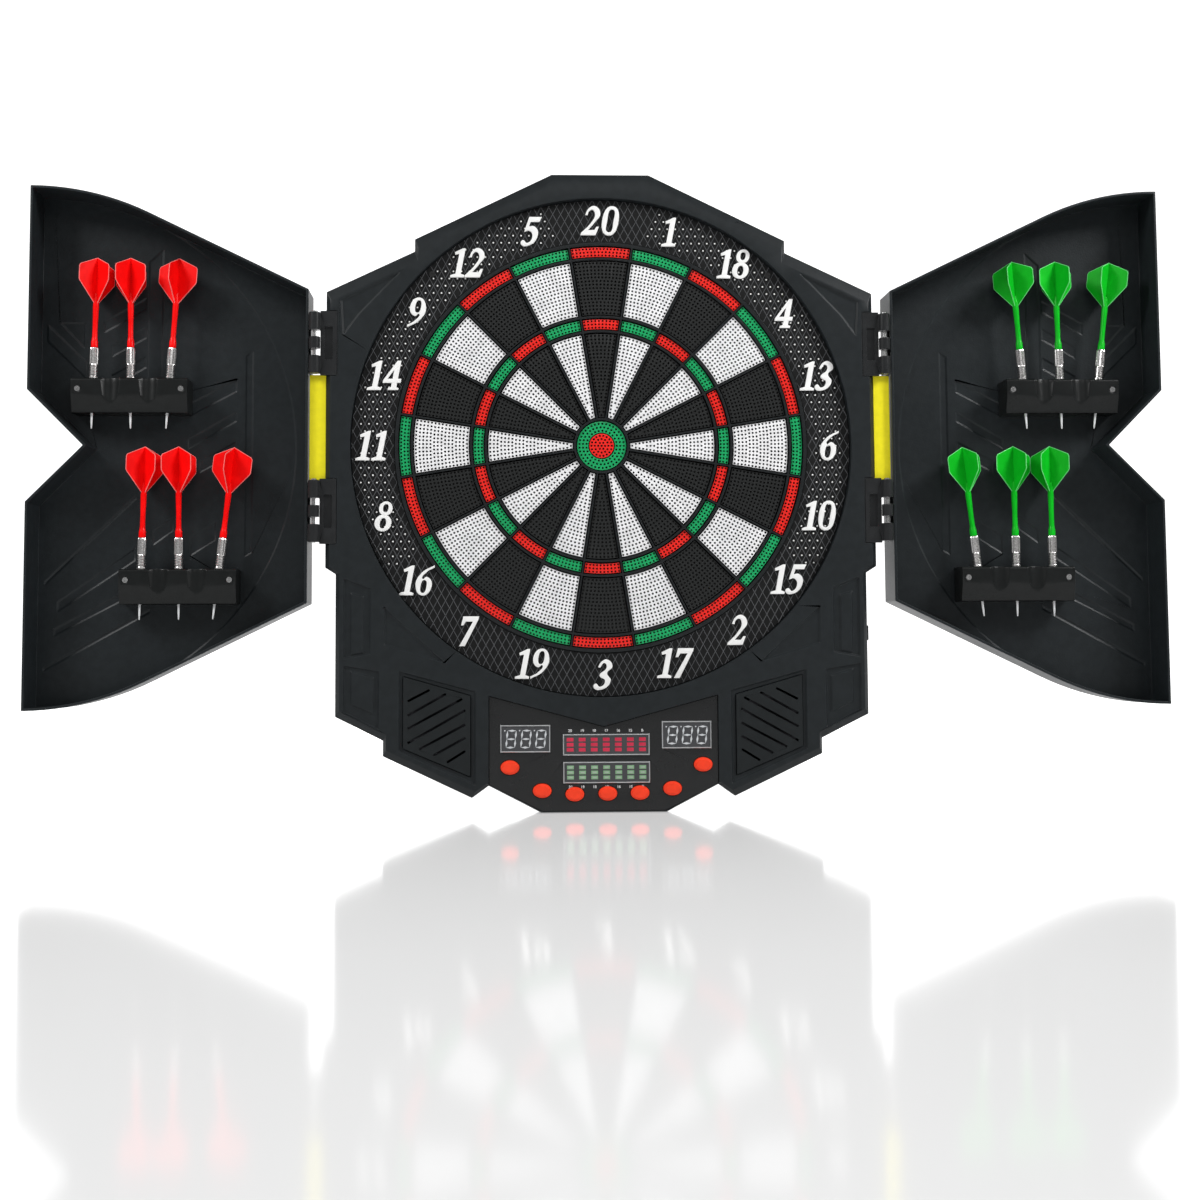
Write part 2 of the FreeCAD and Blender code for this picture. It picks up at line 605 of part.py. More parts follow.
def hinge_bracket(z):
    """Housing half of a hinge: windowed plate with two outer knuckles."""
    front = FRONT_Y - 0.2
    plate = box(224.0, 238.0, front, FRONT_Y + 3.6, z - 27.5, z + 27.5)
    plate = plate.cut(box(227.6, 234.6, front - 1, front + 2.2, z - 14, z + 14))
    pieces = [plate]
    bores = []
    for z0, z1 in ((z - 26, z - 11), (z + 11, z + 26)):
        barrel, bore = knuckle(z0, z1, PIN_R + 0.01)
        pieces += [barrel, box(236.0, HINGE_X, front, FRONT_Y + 3.6, z0, z1)]
        bores.append(bore)
    return cut(fuse(pieces), bores)


def hinge_leaf(z):
    """Door half of a hinge: plate on the door's side wall with the middle knuckle."""
    barrel, bore = knuckle(z - 5, z + 5, PIN_R + PIN_CLEARANCE)
    arm = box(HINGE_X, DOOR_HINGE_X, FRONT_Y, -33.0, z - 5, z + 5)
    plate = box(DOOR_HINGE_X - 1.6, DOOR_HINGE_X, -34.5, -18.0, z - 25, z + 25)
    return fuse([barrel, arm, plate]).cut(bore)


def hinge_pin(z):
    """Pin through the three knuckles of a hinge."""
    start = Vector(HINGE_X, HINGE_Y, z - 26.5)
    return fuse([Part.makeCylinder(PIN_R, 53.5, start), Part.makeCylinder(2.4, 1.0, start + Vector(0, 0, 52.8))])


# --------------------------------------------------------------------- doors
def door_outline(trim):
    """Outline of the right-hand door, trimmed inwards by a wall thickness."""
    shape_slope = math.atan(DOOR_SLOPE)
    radius = (DOOR_OUTER_X - DOOR_ARC_X) / math.sin(shape_slope)
    arc_z = DOOR_HINGE_Z + DOOR_SLOPE * (DOOR_ARC_X - DOOR_HINGE_X)
    centre_z = arc_z - radius * math.cos(shape_slope)
    inner_x = DOOR_HINGE_X + trim
    outer_x = DOOR_OUTER_X - trim
    r = radius - trim

    def on_arc(x):
        return centre_z + math.sqrt(r * r - (DOOR_OUTER_X - x) ** 2)

    arc_start_x = DOOR_OUTER_X - r * math.sin(shape_slope)
    hinge_z = on_arc(arc_start_x) - DOOR_SLOPE * (arc_start_x - inner_x)
    notch_slope = NOTCH_Z / (DOOR_OUTER_X - NOTCH_X)
    apex_x = NOTCH_X - trim * math.hypot(1, notch_slope) / notch_slope
    mouth_z = notch_slope * (outer_x - apex_x)
    middle_x = (arc_start_x + outer_x) / 2

    def at(x, z):
        return Vector(x, 0, z)

    edges = [Part.LineSegment(at(inner_x, -hinge_z), at(inner_x, hinge_z)),
             Part.LineSegment(at(inner_x, hinge_z), at(arc_start_x, on_arc(arc_start_x))),
             Part.Arc(at(arc_start_x, on_arc(arc_start_x)), at(middle_x, on_arc(middle_x)),
                      at(outer_x, on_arc(outer_x))),
             Part.LineSegment(at(outer_x, on_arc(outer_x)), at(outer_x, mouth_z)),
             Part.LineSegment(at(outer_x, mouth_z), at(apex_x, 0)),
             Part.LineSegment(at(apex_x, 0), at(outer_x, -mouth_z)),
             Part.LineSegment(at(outer_x, -mouth_z), at(outer_x, -on_arc(outer_x))),
             Part.Arc(at(outer_x, -on_arc(outer_x)), at(middle_x, -on_arc(middle_x)),
                      at(arc_start_x, -on_arc(arc_start_x))),
             Part.LineSegment(at(arc_start_x, -on_arc(arc_start_x)), at(inner_x, -hinge_z))]
    return Part.Face(Part.Wire([edge.toShape() for edge in edges]))


def door_slab(trim, y_front, y_back):
    """The door's outline as a slab between two depths."""
    slab = door_outline(trim).extrude(Vector(0, y_back - y_front, 0))
    slab.translate(Vector(0, y_front, 0))
    return slab


def bar(x0, x1, z_right, z_left, height):
    """Corners of a slanted bar: z of its top edge at each end and its height."""
    return [(x0, z_right), (x1, z_left), (x1, z_left - height), (x0, z_right - height)]


# shallow motifs pressed into the inside of the right-hand door
DOOR_RELIEFS = [
    bar(313.0, 353.0, 62.4, 41.0, 12.0), bar(313.0, 355.0, 34.0, 9.5, 9.5),
    bar(313.0, 345.0, 8.0, -9.5, 11.0),
    bar(330.0, 352.0, -61.0, -75.0, 17.0), bar(366.0, 384.0, -57.0, -70.0, 13.0),
    bar(391.0, 428.0, 133.0, 112.0, 11.0), bar(391.0, 421.0, 108.0, 91.0, 11.0),
    bar(391.0, 421.0, 82.0, 65.0, 11.0),
    [(377.0, 176.0), (377.0, 59.5), (390.0, 50.0), (390.0, 164.0)],
    [(299.0, 87.0), (299.0, -89.0), (306.0, -93.0), (306.0, 82.0)],
    [(466.0, 110.8), (443.6, 110.8), (443.6, 87.0)],
    [(398.0, -38.0), (475.0, -112.5), (475.0, -117.0), (398.0, -42.5)],
    [(398.0, -84.0), (464.0, -130.0), (464.0, -139.7), (398.0, -95.5)],
    [(408.0, -122.0), (466.5, -153.0), (466.5, -160.0), (408.0, -129.5)],
    [(385.0, -136.0), (475.0, -186.0), (475.0, -190.0), (385.0, -140.0)],
]
DOOR_RIB = [(476.0, 110.0), (441.0, 76.0), (441.0, 60.0), (476.0, 94.0)]


def door():
    """Right-hand door: tray with a notched outer edge, a sunk disc and pressed motifs."""
    inner_face = DOOR_BACK_Y - DOOR_PANEL_T
    shell = door_slab(0, DOOR_RIM_Y, DOOR_BACK_Y).cut(door_slab(DOOR_RIM_T, DOOR_RIM_Y - 1, inner_face))
    centre = Vector(DOOR_OUTER_X, inner_face - 0.01, 0)
    axis = Vector(0, 1, 0)
    step_w = 1.2
    sunk = Part.makeCone(DISC_R, DISC_R - step_w, DISC_DEPTH + 0.01, centre, axis)
    sunk = sunk.common(door_slab(DOOR_RIM_T, inner_face - 1, DOOR_BACK_Y))
    raised = Part.makeCone(DISC_R, DISC_R - step_w, DISC_DEPTH, Vector(DOOR_OUTER_X, DOOR_BACK_Y, 0), axis)
    raised = raised.common(door_slab(0, DOOR_BACK_Y - 1, DOOR_BACK_Y + 2))
    floor = inner_face + DISC_DEPTH
    shell = fuse([shell, raised]).cut(sunk)
    tools = [pocket(points, floor, RELIEF_DEPTH, RELIEF_SLOPE) for points in DOOR_RELIEFS]
    for x, z in holder_screw_places():
        tools.append(disc(SCREW_R, floor - 1, DOOR_BACK_Y + 2, x, z))
    shell = cut(shell, tools)
    return fuse([shell, pad(DOOR_RIB, floor, 1.0, 1.4)])


def holder_screw_places():
    """Where the screws hold the right-hand dart holders to the door."""
    for x, z in HOLDER_CENTRES:
        for side in (-1, 1):
            yield x + side * HOLDER_SCREW_X, z + HOLDER_SCREW_DZ


def dart_placements(specs):
    """Placement of each dart on the right-hand door: origin at its point, +Z up the dart."""
    placements = []
    for index, (lean, turn) in enumerate(specs):
        x, z = HOLDER_CENTRES[index // 3]
        x += (1 - index % 3) * HOLDER_PITCH
        drop = HOLDER_SIZE[1] / 2 + TIP_BELOW_HOLDER
        tilt = FreeCAD.Rotation(Vector(0, 1, 0), -lean)
        spin = FreeCAD.Rotation(Vector(0, 0, 1), turn)
        point = Vector(x, DART_Y, z) + tilt.multVec(Vector(0, 0, -drop))
        placements.append(FreeCAD.Placement(point, tilt.multiply(spin)))
    return placements


def holder(centre, placements):
    """Dart holder with three sockets, two flutes and a sloping skirt."""
    x, z = centre
    half_w = HOLDER_SIZE[0] / 2
    half_h = HOLDER_SIZE[1] / 2
    back = DOOR_BACK_Y - DOOR_PANEL_T + DISC_DEPTH
    profile = [(back, half_h), (HOLDER_FRONT_Y + 1.5, half_h), (HOLDER_FRONT_Y, half_h - 1.5),
               (HOLDER_FRONT_Y, 0.5), (HOLDER_FRONT_Y + 3.5, -half_h + 2.5),
               (HOLDER_FRONT_Y + 3.5, -half_h), (back, -half_h)]
    corners = [Vector(x - half_w, depth, z + up) for depth, up in profile]
    block = Part.Face(Part.makePolygon(corners + [corners[0]])).extrude(Vector(2 * half_w, 0, 0))
    tools = []
    flute_foot_r, flute_top_r, flute_out, flute_foot = 9.2, 11.0, 7.0, -8.0
    for side in (-0.5, 0.5):
        foot = Vector(x + side * HOLDER_PITCH, HOLDER_FRONT_Y - flute_out, z + flute_foot)
        tools.append(Part.makeCone(flute_foot_r, flute_top_r, half_h - flute_foot + 1, foot))
    for side in (-1, 1):
        place = (x + side * HOLDER_SCREW_X, z + HOLDER_SCREW_DZ)
        tools.append(disc(SCREW_R + 0.2, HOLDER_FRONT_Y - 1, back + 1, *place))
        tools.append(disc(2.8, HOLDER_FRONT_Y - 1, HOLDER_FRONT_Y + 1.8, *place))
    for placement in placements:
        socket = fuse([Part.makeCylinder(SOCKET_R, 40, Vector(0, 0, SHOULDER_H - 0.3)),
                       Part.makeCylinder(3.1, SHOULDER_H, Vector(0, 0, 0))])
        socket.Placement = placement
        tools.append(socket)
    return cut(block, tools)


def holder_screws():
    """Screws of the right-hand dart holders."""
    screws = []
    for x, z in holder_screw_places():
        front = HOLDER_FRONT_Y + 0.2
        head = disc(2.4, front, HOLDER_FRONT_Y + 1.8, x, z)
        cross = [box(x - 1.5, x + 1.5, front - 1, front + 0.7, z - 0.35, z + 0.35),
                 box(x - 0.35, x + 0.35, front - 1, front + 0.7, z - 1.5, z + 1.5)]
        shank = disc(SCREW_R - 0.05, HOLDER_FRONT_Y + 1.8, DOOR_BACK_Y, x, z)
        screws.append(cut(fuse([head, shank]), cross))
    return screws


def dart():
    """Soft-tip dart standing on its point: tip, barrel, shaft and a four-wing flight."""
    outline = [(0, 0), (0.5, 0.3), (1.3, 14), (1.3, 20), (2.6, 21), (2.6, SHOULDER_H - 0.2),
               (BARREL_R - 0.5, SHOULDER_H), (BARREL_R, SHOULDER_H + 1.5), (BARREL_R, BARREL_TOP_H - 2),
               (SHAFT_R + 0.4, BARREL_TOP_H), (SHAFT_R + 0.4, BARREL_TOP_H + 6),
               (SHAFT_R - 0.4, BARREL_TOP_H + 9), (SHAFT_R, 105), (SHAFT_R - 1, 116), (0, 116)]
    points = [Vector(r, 0, h) for r, h in outline]
    body = Part.Face(Part.makePolygon(points + [points[0]])).revolve(Vector(0, 0, 0), Vector(0, 0, 1), 360)
    top = DART_LENGTH
    wing = [(0, top), (0.94 * WING_R, top - 7.6), (WING_R, top - 9.5), (WING_R, top - 21), (1.2, top - 41)]
    edge = wing + [(-r, h) for r, h in reversed(wing) if r]
    corners = [Vector(r, -WING_T / 2, h) for r, h in edge]
    plate = Part.Face(Part.makePolygon(corners + [corners[0]])).extrude(Vector(0, WING_T, 0))
    crossed = plate.copy()
    crossed.rotate(Vector(0, 0, 0), Vector(0, 0, 1), 90)
    return fuse([body, plate, crossed])


def gap_strip():
    """Yellow strip beside the housing, in the gap between the right-hand hinges."""
    return box(233.4, 247.4, BEVEL_Y + 0.1, BEVEL_Y + 2.6, -29.3, 60.3)


# -------------------------------------------------------------------- output
def main():
    export("front_housing", front_housing())
    export("rear_cover", rear_cover())
    export("rear_screws", rear_screws())
    export("catch_ring", catch_ring())
    export("ring_screws", ring_screws())
    export("numerals", numerals())
    export("spider", spider())
    export("foam_sheet", disc(SHEET_R, *FOAM_Y))
    export("switch_membrane", disc(SHEET_R, *MEMBRANE_Y))
    export("backing_plate", backing_plate())

    export("doubles_red", segments(DOUBLE_R, NARROW_HALF_GAP, 0))
    export("doubles_green", segments(DOUBLE_R, NARROW_HALF_GAP, 1))
    export("triples_red", segments(TRIPLE_R, NARROW_HALF_GAP, 0))
    export("triples_green", segments(TRIPLE_R, NARROW_HALF_GAP, 1))
    export("outer_singles_black", segments(OUTER_SINGLE_R, WIDE_HALF_GAP, 0))
    export("outer_singles_white", segments(OUTER_SINGLE_R, WIDE_HALF_GAP, 1))
    export("inner_singles_black", segments(INNER_SINGLE_R, WIDE_HALF_GAP, 0))
    export("inner_singles_white", segments(INNER_SINGLE_R, WIDE_HALF_GAP, 1))
    export("outer_bull", ring(OUTER_BULL_IN_R, OUTER_BULL_R, SEGMENT_FRONT_Y, SEGMENT_BACK_Y))
    export("inner_bull", disc(INNER_BULL_R, SEGMENT_FRONT_Y, SEGMENT_BACK_Y))

    export("control_fascia", control_fascia())
    export("display_frames", display_frames())
    export("score_displays", [display_module(centre, SCORE_SIZE) for centre in SCORE_CENTRES])
    export("cricket_display_red", display_module(CRICKET_RED_CENTRE, CRICKET_SIZE))
    export("cricket_display_green", display_module(CRICKET_GREEN_CENTRE, CRICKET_SIZE))
    for number, (x, z) in enumerate(BUTTON_CENTRES, start=1):
        export(f"button_{number}", button(x, z))
    export("button_switches", button_switches())
    export("circuit_board", circuit_board())
    export("speaker_grilles", both_sides(speaker_grille()))
    export("speakers", both_sides(speaker()))
    export("power_socket", power_socket())

    export("hinge_brackets", [shape for z in HINGE_ZS for shape in both_sides(hinge_bracket(z))])
    export("hinge_pins", [shape for z in HINGE_ZS for shape in both_sides(hinge_pin(z))])
    export("gap_strips", both_sides(gap_strip()))

    leaves = Part.makeCompound([hinge_leaf(z) for z in HINGE_ZS])
    screws = Part.makeCompound(holder_screws())
    one_dart = dart()
    for side, specs in (("right", DARTS_RIGHT), ("left", DARTS_LEFT)):
        turn_over = mirrored if side == "left" else (lambda shape: shape)
        placements = dart_placements(specs)
        holders = [holder(centre, placements[3 * row:3 * row + 3]) for row, centre in enumerate(HOLDER_CENTRES)]
        export(f"door_{side}", turn_over(door()))
        export(f"hinge_leaves_{side}", turn_over(leaves))
        export(f"dart_holders_{side}", [turn_over(shape) for shape in holders])
        export(f"holder_screws_{side}", turn_over(screws))
        for number, placement in enumerate(placements, start=1):
            placed = one_dart.copy()
            placed.Placement = placement
            export(f"dart_{side}_{number}", turn_over(placed))
            up = placement.Rotation.multVec(Vector(0, 0, 1))
            print(f"  axis of dart_{side}_{number}: {-up.x if side == 'left' else up.x:.5f} 0 {up.z:.5f}")


main()
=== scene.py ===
# %% [markdown]
# An electronic dartboard in an open cabinet. The design's own model is loaded first and stays
# fixed: it says where every piece is and which pieces move together. This lesson then gives each
# piece its finished mesh and its material, one step at a time.

# %% Load the frame
import json
import math

import bmesh
import bpy
from mathutils import Matrix, Vector


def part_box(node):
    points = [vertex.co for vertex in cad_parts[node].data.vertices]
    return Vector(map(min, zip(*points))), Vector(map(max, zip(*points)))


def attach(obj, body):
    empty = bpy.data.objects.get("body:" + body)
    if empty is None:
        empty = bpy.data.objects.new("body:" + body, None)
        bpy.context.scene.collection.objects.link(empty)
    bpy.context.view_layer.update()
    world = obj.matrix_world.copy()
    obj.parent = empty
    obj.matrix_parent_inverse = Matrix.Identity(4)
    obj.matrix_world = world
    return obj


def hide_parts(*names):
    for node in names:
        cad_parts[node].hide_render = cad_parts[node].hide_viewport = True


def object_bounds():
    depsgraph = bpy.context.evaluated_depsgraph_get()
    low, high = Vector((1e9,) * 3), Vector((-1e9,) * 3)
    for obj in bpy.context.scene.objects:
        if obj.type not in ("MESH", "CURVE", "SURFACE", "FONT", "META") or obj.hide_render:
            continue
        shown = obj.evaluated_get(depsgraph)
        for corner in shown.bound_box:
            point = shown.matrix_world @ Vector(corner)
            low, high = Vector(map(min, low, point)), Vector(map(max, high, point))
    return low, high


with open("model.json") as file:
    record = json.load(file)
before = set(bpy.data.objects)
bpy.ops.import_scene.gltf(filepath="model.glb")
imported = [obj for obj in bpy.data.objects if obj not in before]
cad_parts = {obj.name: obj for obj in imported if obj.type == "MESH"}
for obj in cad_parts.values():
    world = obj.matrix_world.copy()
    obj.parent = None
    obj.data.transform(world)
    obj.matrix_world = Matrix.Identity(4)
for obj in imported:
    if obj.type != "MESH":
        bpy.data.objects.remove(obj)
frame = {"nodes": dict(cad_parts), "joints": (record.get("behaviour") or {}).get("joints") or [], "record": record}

CAD_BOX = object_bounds()
MM = 0.001
print("nodes in the frame:", len(frame["nodes"]))

# %% [markdown]
# Everything is modelled with the same operators that a person picks from the menus. They act on
# whatever is selected, and loading leaves the whole frame selected, so the first helpers choose
# objects and faces. Others add a bare primitive, apply its place to its mesh, so that each object
# stays at the origin, and hang the finished piece on its body.

# %% Selecting and shaping helpers
def pick_only(*pieces):
    """Select these objects and nothing else; the first one is active."""
    bpy.ops.object.select_all(action="DESELECT")
    for piece in pieces:
        piece.select_set(True)
    bpy.context.view_layer.objects.active = pieces[0]


def settle(piece):
    """Put the object's place, turn and scale into its mesh."""
    pick_only(piece)
    bpy.ops.object.transform_apply(location=True, rotation=True, scale=True)
    return piece


def primitive(kind, name, **shape):
    """Add a mesh primitive at its size and place, and name it."""
    bpy.ops.object.select_all(action="DESELECT")
    getattr(bpy.ops.mesh, f"primitive_{kind}_add")(**shape)
    piece = bpy.context.object
    piece.name = name
    return settle(piece)


def edit(piece):
    """Enter edit mode with everything selected."""
    pick_only(piece)
    bpy.ops.object.mode_set(mode="EDIT")
    bpy.ops.mesh.select_mode(type="FACE")
    bpy.ops.mesh.select_all(action="SELECT")


def leave_edit(outwards=True):
    """Leave edit mode, with every face of the closed shell turned outwards."""
    if outwards:
        bpy.ops.mesh.select_all(action="SELECT")
        bpy.ops.mesh.remove_doubles(threshold=1e-7)
        bpy.ops.mesh.normals_make_consistent(inside=False)
    bpy.ops.object.mode_set(mode="OBJECT")


def pick_faces(test):
    """In edit mode, select only the faces for which test(centre, normal) is true."""
    mesh = bpy.context.object.data
    shell = bmesh.from_edit_mesh(mesh)
    for face in shell.faces:
        face.select_set(bool(test(face.calc_center_median(), face.normal)))
    bmesh.update_edit_mesh(mesh)


def modify(piece, kind, **settings):
    """Add a modifier, give it its settings and apply it."""
    pick_only(piece)
    modifier = piece.modifiers.new(kind.title(), kind)
    for name, value in settings.items():
        setattr(modifier, name, value)
    bpy.ops.object.modifier_apply(modifier=modifier.name)
    return piece


def round_edges(piece, width, segments=2, angle=32, slide=True):
    """Give every edge sharper than the angle a small radius, and shade the piece smooth.

    With slide off the new edges keep an even distance, and don't run along thin triangles.
    """
    modify(piece, "BEVEL", width=width, segments=segments, limit_method="ANGLE",
           angle_limit=math.radians(angle), use_clamp_overlap=False, miter_outer="MITER_ARC",
           loop_slide=slide)
    return smooth(piece)


def smooth(piece, angle=32):
    """Shade smooth across every edge flatter than the angle."""
    pick_only(piece)
    bpy.ops.object.shade_smooth_by_angle(angle=math.radians(angle))
    return piece


def gathered(name, pattern, places):
    """One piece made of a copy of the pattern at each place; the pattern is removed."""
    shell = bmesh.new()
    for place in places:
        copy = pattern.data.copy()
        copy.transform(place)
        shell.from_mesh(copy)
        bpy.data.meshes.remove(copy)
    mesh = bpy.data.meshes.new(name)
    shell.to_mesh(mesh)
    shell.free()
    piece = bpy.data.objects.new(name, mesh)
    bpy.context.scene.collection.objects.link(piece)
    for material in pattern.data.materials:
        mesh.materials.append(material)
    bpy.data.objects.remove(pattern)
    return piece


def place_piece(piece, body, material=None, slot=None, replaces=()):
    """Paint a finished piece, hang it on its body and hide the nodes that it stands for."""
    if material:
        piece.data.materials.clear()
        piece.data.materials.append(material)
    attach(piece, body)
    if replaces:
        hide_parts(*replaces)
    return piece


def turned(name, profile, sides):
    """A lathe-turned piece: a disc at the foot, drawn up and resized ring by ring along Z."""
    radius, height = profile[0]
    piece = primitive("circle", name, vertices=sides, radius=radius, fill_type="NGON",
                      location=(0, 0, height))
    edit(piece)
    for next_radius, next_height in profile[1:]:
        rise = next_height - height
        bpy.ops.mesh.extrude_region_move(TRANSFORM_OT_translate={"value": (0, 0, rise)})
        scale = next_radius / radius
        bpy.ops.transform.resize(value=(scale, scale, 1), center_override=(0, 0, next_height))
        radius, height = next_radius, next_height
    leave_edit()
    return smooth(piece)


bpy.ops.object.select_all(action="DESELECT")
print("helpers are ready")

# %% [markdown]
# A material is a small graph of nodes. Written out node by node it is hard to read, so one class
# wraps a socket and lets sums on sockets be written as sums. Patterns use object coordinates,
# which are metres here, so a scale of 1000 means a detail one millimetre across.

# %% Shader maths as plain sums
class Wire:
    """A socket of a material's node tree that can be used in sums like a number."""

    def __init__(self, tree, socket=None):
        self.tree = tree
        self.socket = socket

    def node(self, kind, settings=None, inputs=None, output=0):
        """Add any node: its settings are set first, then its sockets get values or links."""
        made = self.tree.nodes.new(kind)
        for name, value in (settings or {}).items():
            setattr(made, name, value)
        for name, value in (inputs or {}).items():
            if isinstance(value, Wire):
                self.tree.links.new(value.socket, made.inputs[name])
            else:
                made.inputs[name].default_value = value
        return Wire(self.tree, made.outputs[output])

    def maths(self, operation, first, second=0.0):
        return self.node("ShaderNodeMath", {"operation": operation}, {0: first, 1: second})

    def __add__(self, other):
        return self.maths("ADD", self, other)

    def __sub__(self, other):
        return self.maths("SUBTRACT", self, other)

    def __mul__(self, other):
        return self.maths("MULTIPLY", self, other)

    def between(self, low, high):
        """0 below low, 1 above high and a smooth ramp between them."""
        inputs = {"Value": self, "From Min": low, "From Max": high}
        return self.node("ShaderNodeMapRange", {"interpolation_type": "SMOOTHSTEP"}, inputs)

    def mix(self, first, second):
        """The first colour where this is 0 and the second where it is 1."""
        return self.node("ShaderNodeMix", {"data_type": "RGBA"}, {0: self, 6: first, 7: second}, 2)

    def place(self):
        """Object coordinates, in metres."""
        return self.node("ShaderNodeTexCoord", output="Object")

    def axis(self, letter):
        """One of the three object coordinates."""
        return self.node("ShaderNodeSeparateXYZ", None, {"Vector": self.place()}, letter)

    def noise(self, size, detail=2.0):
        """Cloudy noise whose blobs are about this many metres across."""
        inputs = {"Vector": self.place(), "Scale": 1 / size, "Detail": detail}
        return self.node("ShaderNodeTexNoise", None, inputs)

    def bump(self, strength, depth):
        """Use this as a height, and return the normal that it gives."""
        inputs = {"Height": self, "Strength": strength, "Distance": depth}
        return self.node("ShaderNodeBump", None, inputs)


def new_material(name, **constants):
    """A material whose shader has these constant values, and a wire to build its pattern."""
    material = bpy.data.materials.new(name)
    material.use_nodes = True
    shader = material.node_tree.nodes["Principled BSDF"]
    for socket, value in constants.items():
        shader.inputs[socket.replace("_", " ")].default_value = value
    return material, Wire(material.node_tree)


def feed(material, **wires):
    """Link patterns into the shader's sockets."""
    shader = material.node_tree.nodes["Principled BSDF"]
    for socket, wire in wires.items():
        material.node_tree.links.new(wire.socket, shader.inputs[socket.replace("_", " ")])
    return material


def shade(colour, factor):
    """A colour made lighter or darker, with its alpha."""
    return tuple(channel * factor for channel in colour[:3]) + (1.0,)


# %% [markdown]
# Most of the object is moulded ABS. The tool that moulds it is spark-eroded, which leaves a fine
# even grain, so the surface scatters light softly instead of mirroring it. Three noises do this:
# a fine one for the grain's height, a broad one for slight changes of gloss, and a middling one
# for the faint mottling that black plastic shows under a lamp.

# %% Moulded plastic
def moulded(name, colour, roughness, grain=0.5 * MM, depth=0.05 * MM, mottle=0.1, specular=0.22):
    """Grained plastic: colour, roughness and grain size in metres."""
    material, wire = new_material(name, Specular_IOR_Level=specular)
    fine = wire.noise(grain, 3.0)
    mottling = wire.noise(7 * MM, 4.0).between(0.3, 0.7)
    gloss = wire.noise(60 * MM, 2.0)
    return feed(
        material,
        Base_Color=mottling.mix(shade(colour, 1 - mottle), shade(colour, 1 + mottle)),
        Roughness=(gloss - 0.5) * 0.16 + (fine - 0.5) * 0.14 + roughness,
        Normal=fine.bump(0.8, depth),
    )


HOUSING_BLACK = moulded("housing_black", (0.0135, 0.0165, 0.0182), 0.42, grain=1.0 * MM, depth=0.1 * MM)
DOOR_BLACK = moulded("door_black", (0.0140, 0.0175, 0.0195), 0.40, grain=1.3 * MM, depth=0.16 * MM)
COVER_BLACK = moulded("cover_black", (0.012, 0.014, 0.015), 0.55)
HOLDER_BLACK = moulded("holder_black", (0.009, 0.010, 0.010), 0.30, depth=0.02 * MM)
GRILLE_BLACK = moulded("grille_black", (0.011, 0.0135, 0.0145), 0.46, grain=0.9 * MM, depth=0.08 * MM)
RING_BLACK = moulded("ring_black", (0.003, 0.0033, 0.0036), 0.5, specular=0.25)
LATTICE_BLACK = moulded("lattice_black", (0.075, 0.078, 0.082), 0.36, depth=0.02 * MM)
SPIDER_BLACK = moulded("spider_black", (0.015, 0.017, 0.018), 0.32, depth=0.02 * MM)
HINGE_BLACK = moulded("hinge_black", (0.020, 0.021, 0.022), 0.3, depth=0.02 * MM)
SWITCH_BLACK = moulded("switch_black", (0.02, 0.02, 0.02), 0.4)
SOCKET_BLACK = moulded("socket_black", (0.015, 0.015, 0.016), 0.35)
BACKING_GREY = moulded("backing_grey", (0.13, 0.13, 0.13), 0.7)
FOAM_GREY = moulded("foam_grey", (0.16, 0.16, 0.165), 0.95, grain=0.9 * MM, depth=0.3 * MM)
NUMERAL_WHITE = moulded("numeral_white", (0.86, 0.86, 0.85), 0.4, depth=0.01 * MM, mottle=0.02)
BUTTON_RED = moulded("button_red", (0.93, 0.055, 0.018), 0.34, depth=0.01 * MM, mottle=0.06)
STRIP_YELLOW = moulded("strip_yellow", (0.95, 0.84, 0.02), 0.4, depth=0.02 * MM, mottle=0.04)
TIP_GREY = moulded("tip_grey", (0.72, 0.73, 0.74), 0.3, depth=0.01 * MM, mottle=0.05)
print("moulded plastics:", len(bpy.data.materials))

# %% [markdown]
# The target's segments are the same plastic, but each is pierced by hundreds of small blind holes
# that catch the soft tips. Light hardly reaches into them, and none comes back out of the gaps
# round a segment. A mask on depth paints shade over everything below the front face, and the
# holes themselves are real geometry, cut later.

# %% Pierced segment plastic
SEGMENT_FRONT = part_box("outer_singles_white")[0].y
SHADE_STARTS = 0.12 * MM
SHADE_FULL = 0.5 * MM


def segment_plastic(name, colour, painted_shade, roughness):
    """Plastic that turns to a painted shade below the front face, in its holes and gaps."""
    material, wire = new_material(name, Specular_IOR_Level=0.4)
    # Painted shade: the colour darkens below the front face, where the holes and gaps get little light.
    depth = wire.axis("Y").between(SEGMENT_FRONT + SHADE_STARTS, SEGMENT_FRONT + SHADE_FULL)
    mottling = wire.noise(9 * MM, 3.0).between(0.3, 0.7)
    face = mottling.mix(shade(colour, 0.92), shade(colour, 1.06))
    fine = wire.noise(0.5 * MM, 2.0)
    return feed(material, Base_Color=depth.mix(face, painted_shade), Roughness=(fine - 0.5) * 0.1 + roughness,
                Normal=fine.bump(0.35, 0.02 * MM))


# The second colour of each is its painted shade for the holes and gaps.
SEGMENT_RED = segment_plastic("segment_red", (0.82, 0.018, 0.012), (0.05, 0.0015, 0.001, 1), 0.3)
SEGMENT_GREEN = segment_plastic("segment_green", (0.008, 0.36, 0.115), (0.0008, 0.022, 0.008, 1), 0.3)
SEGMENT_WHITE = segment_plastic("segment_white", (0.83, 0.83, 0.84), (0.012, 0.012, 0.013, 1), 0.45)
SEGMENT_BLACK = segment_plastic("segment_black", (0.011, 0.012, 0.012), (0.001, 0.001, 0.001, 1), 0.38)

# %% [markdown]
# A few finishes are not moulded plastic. The control panel is a polished plate with a clear coat,
# the display windows are smoked, the frames are silver paint, and the darts carry turned steel
# barrels. Metal reads as metal from its roughness: fine lathe lines run round a barrel, so its
# noise is stretched across the dart.

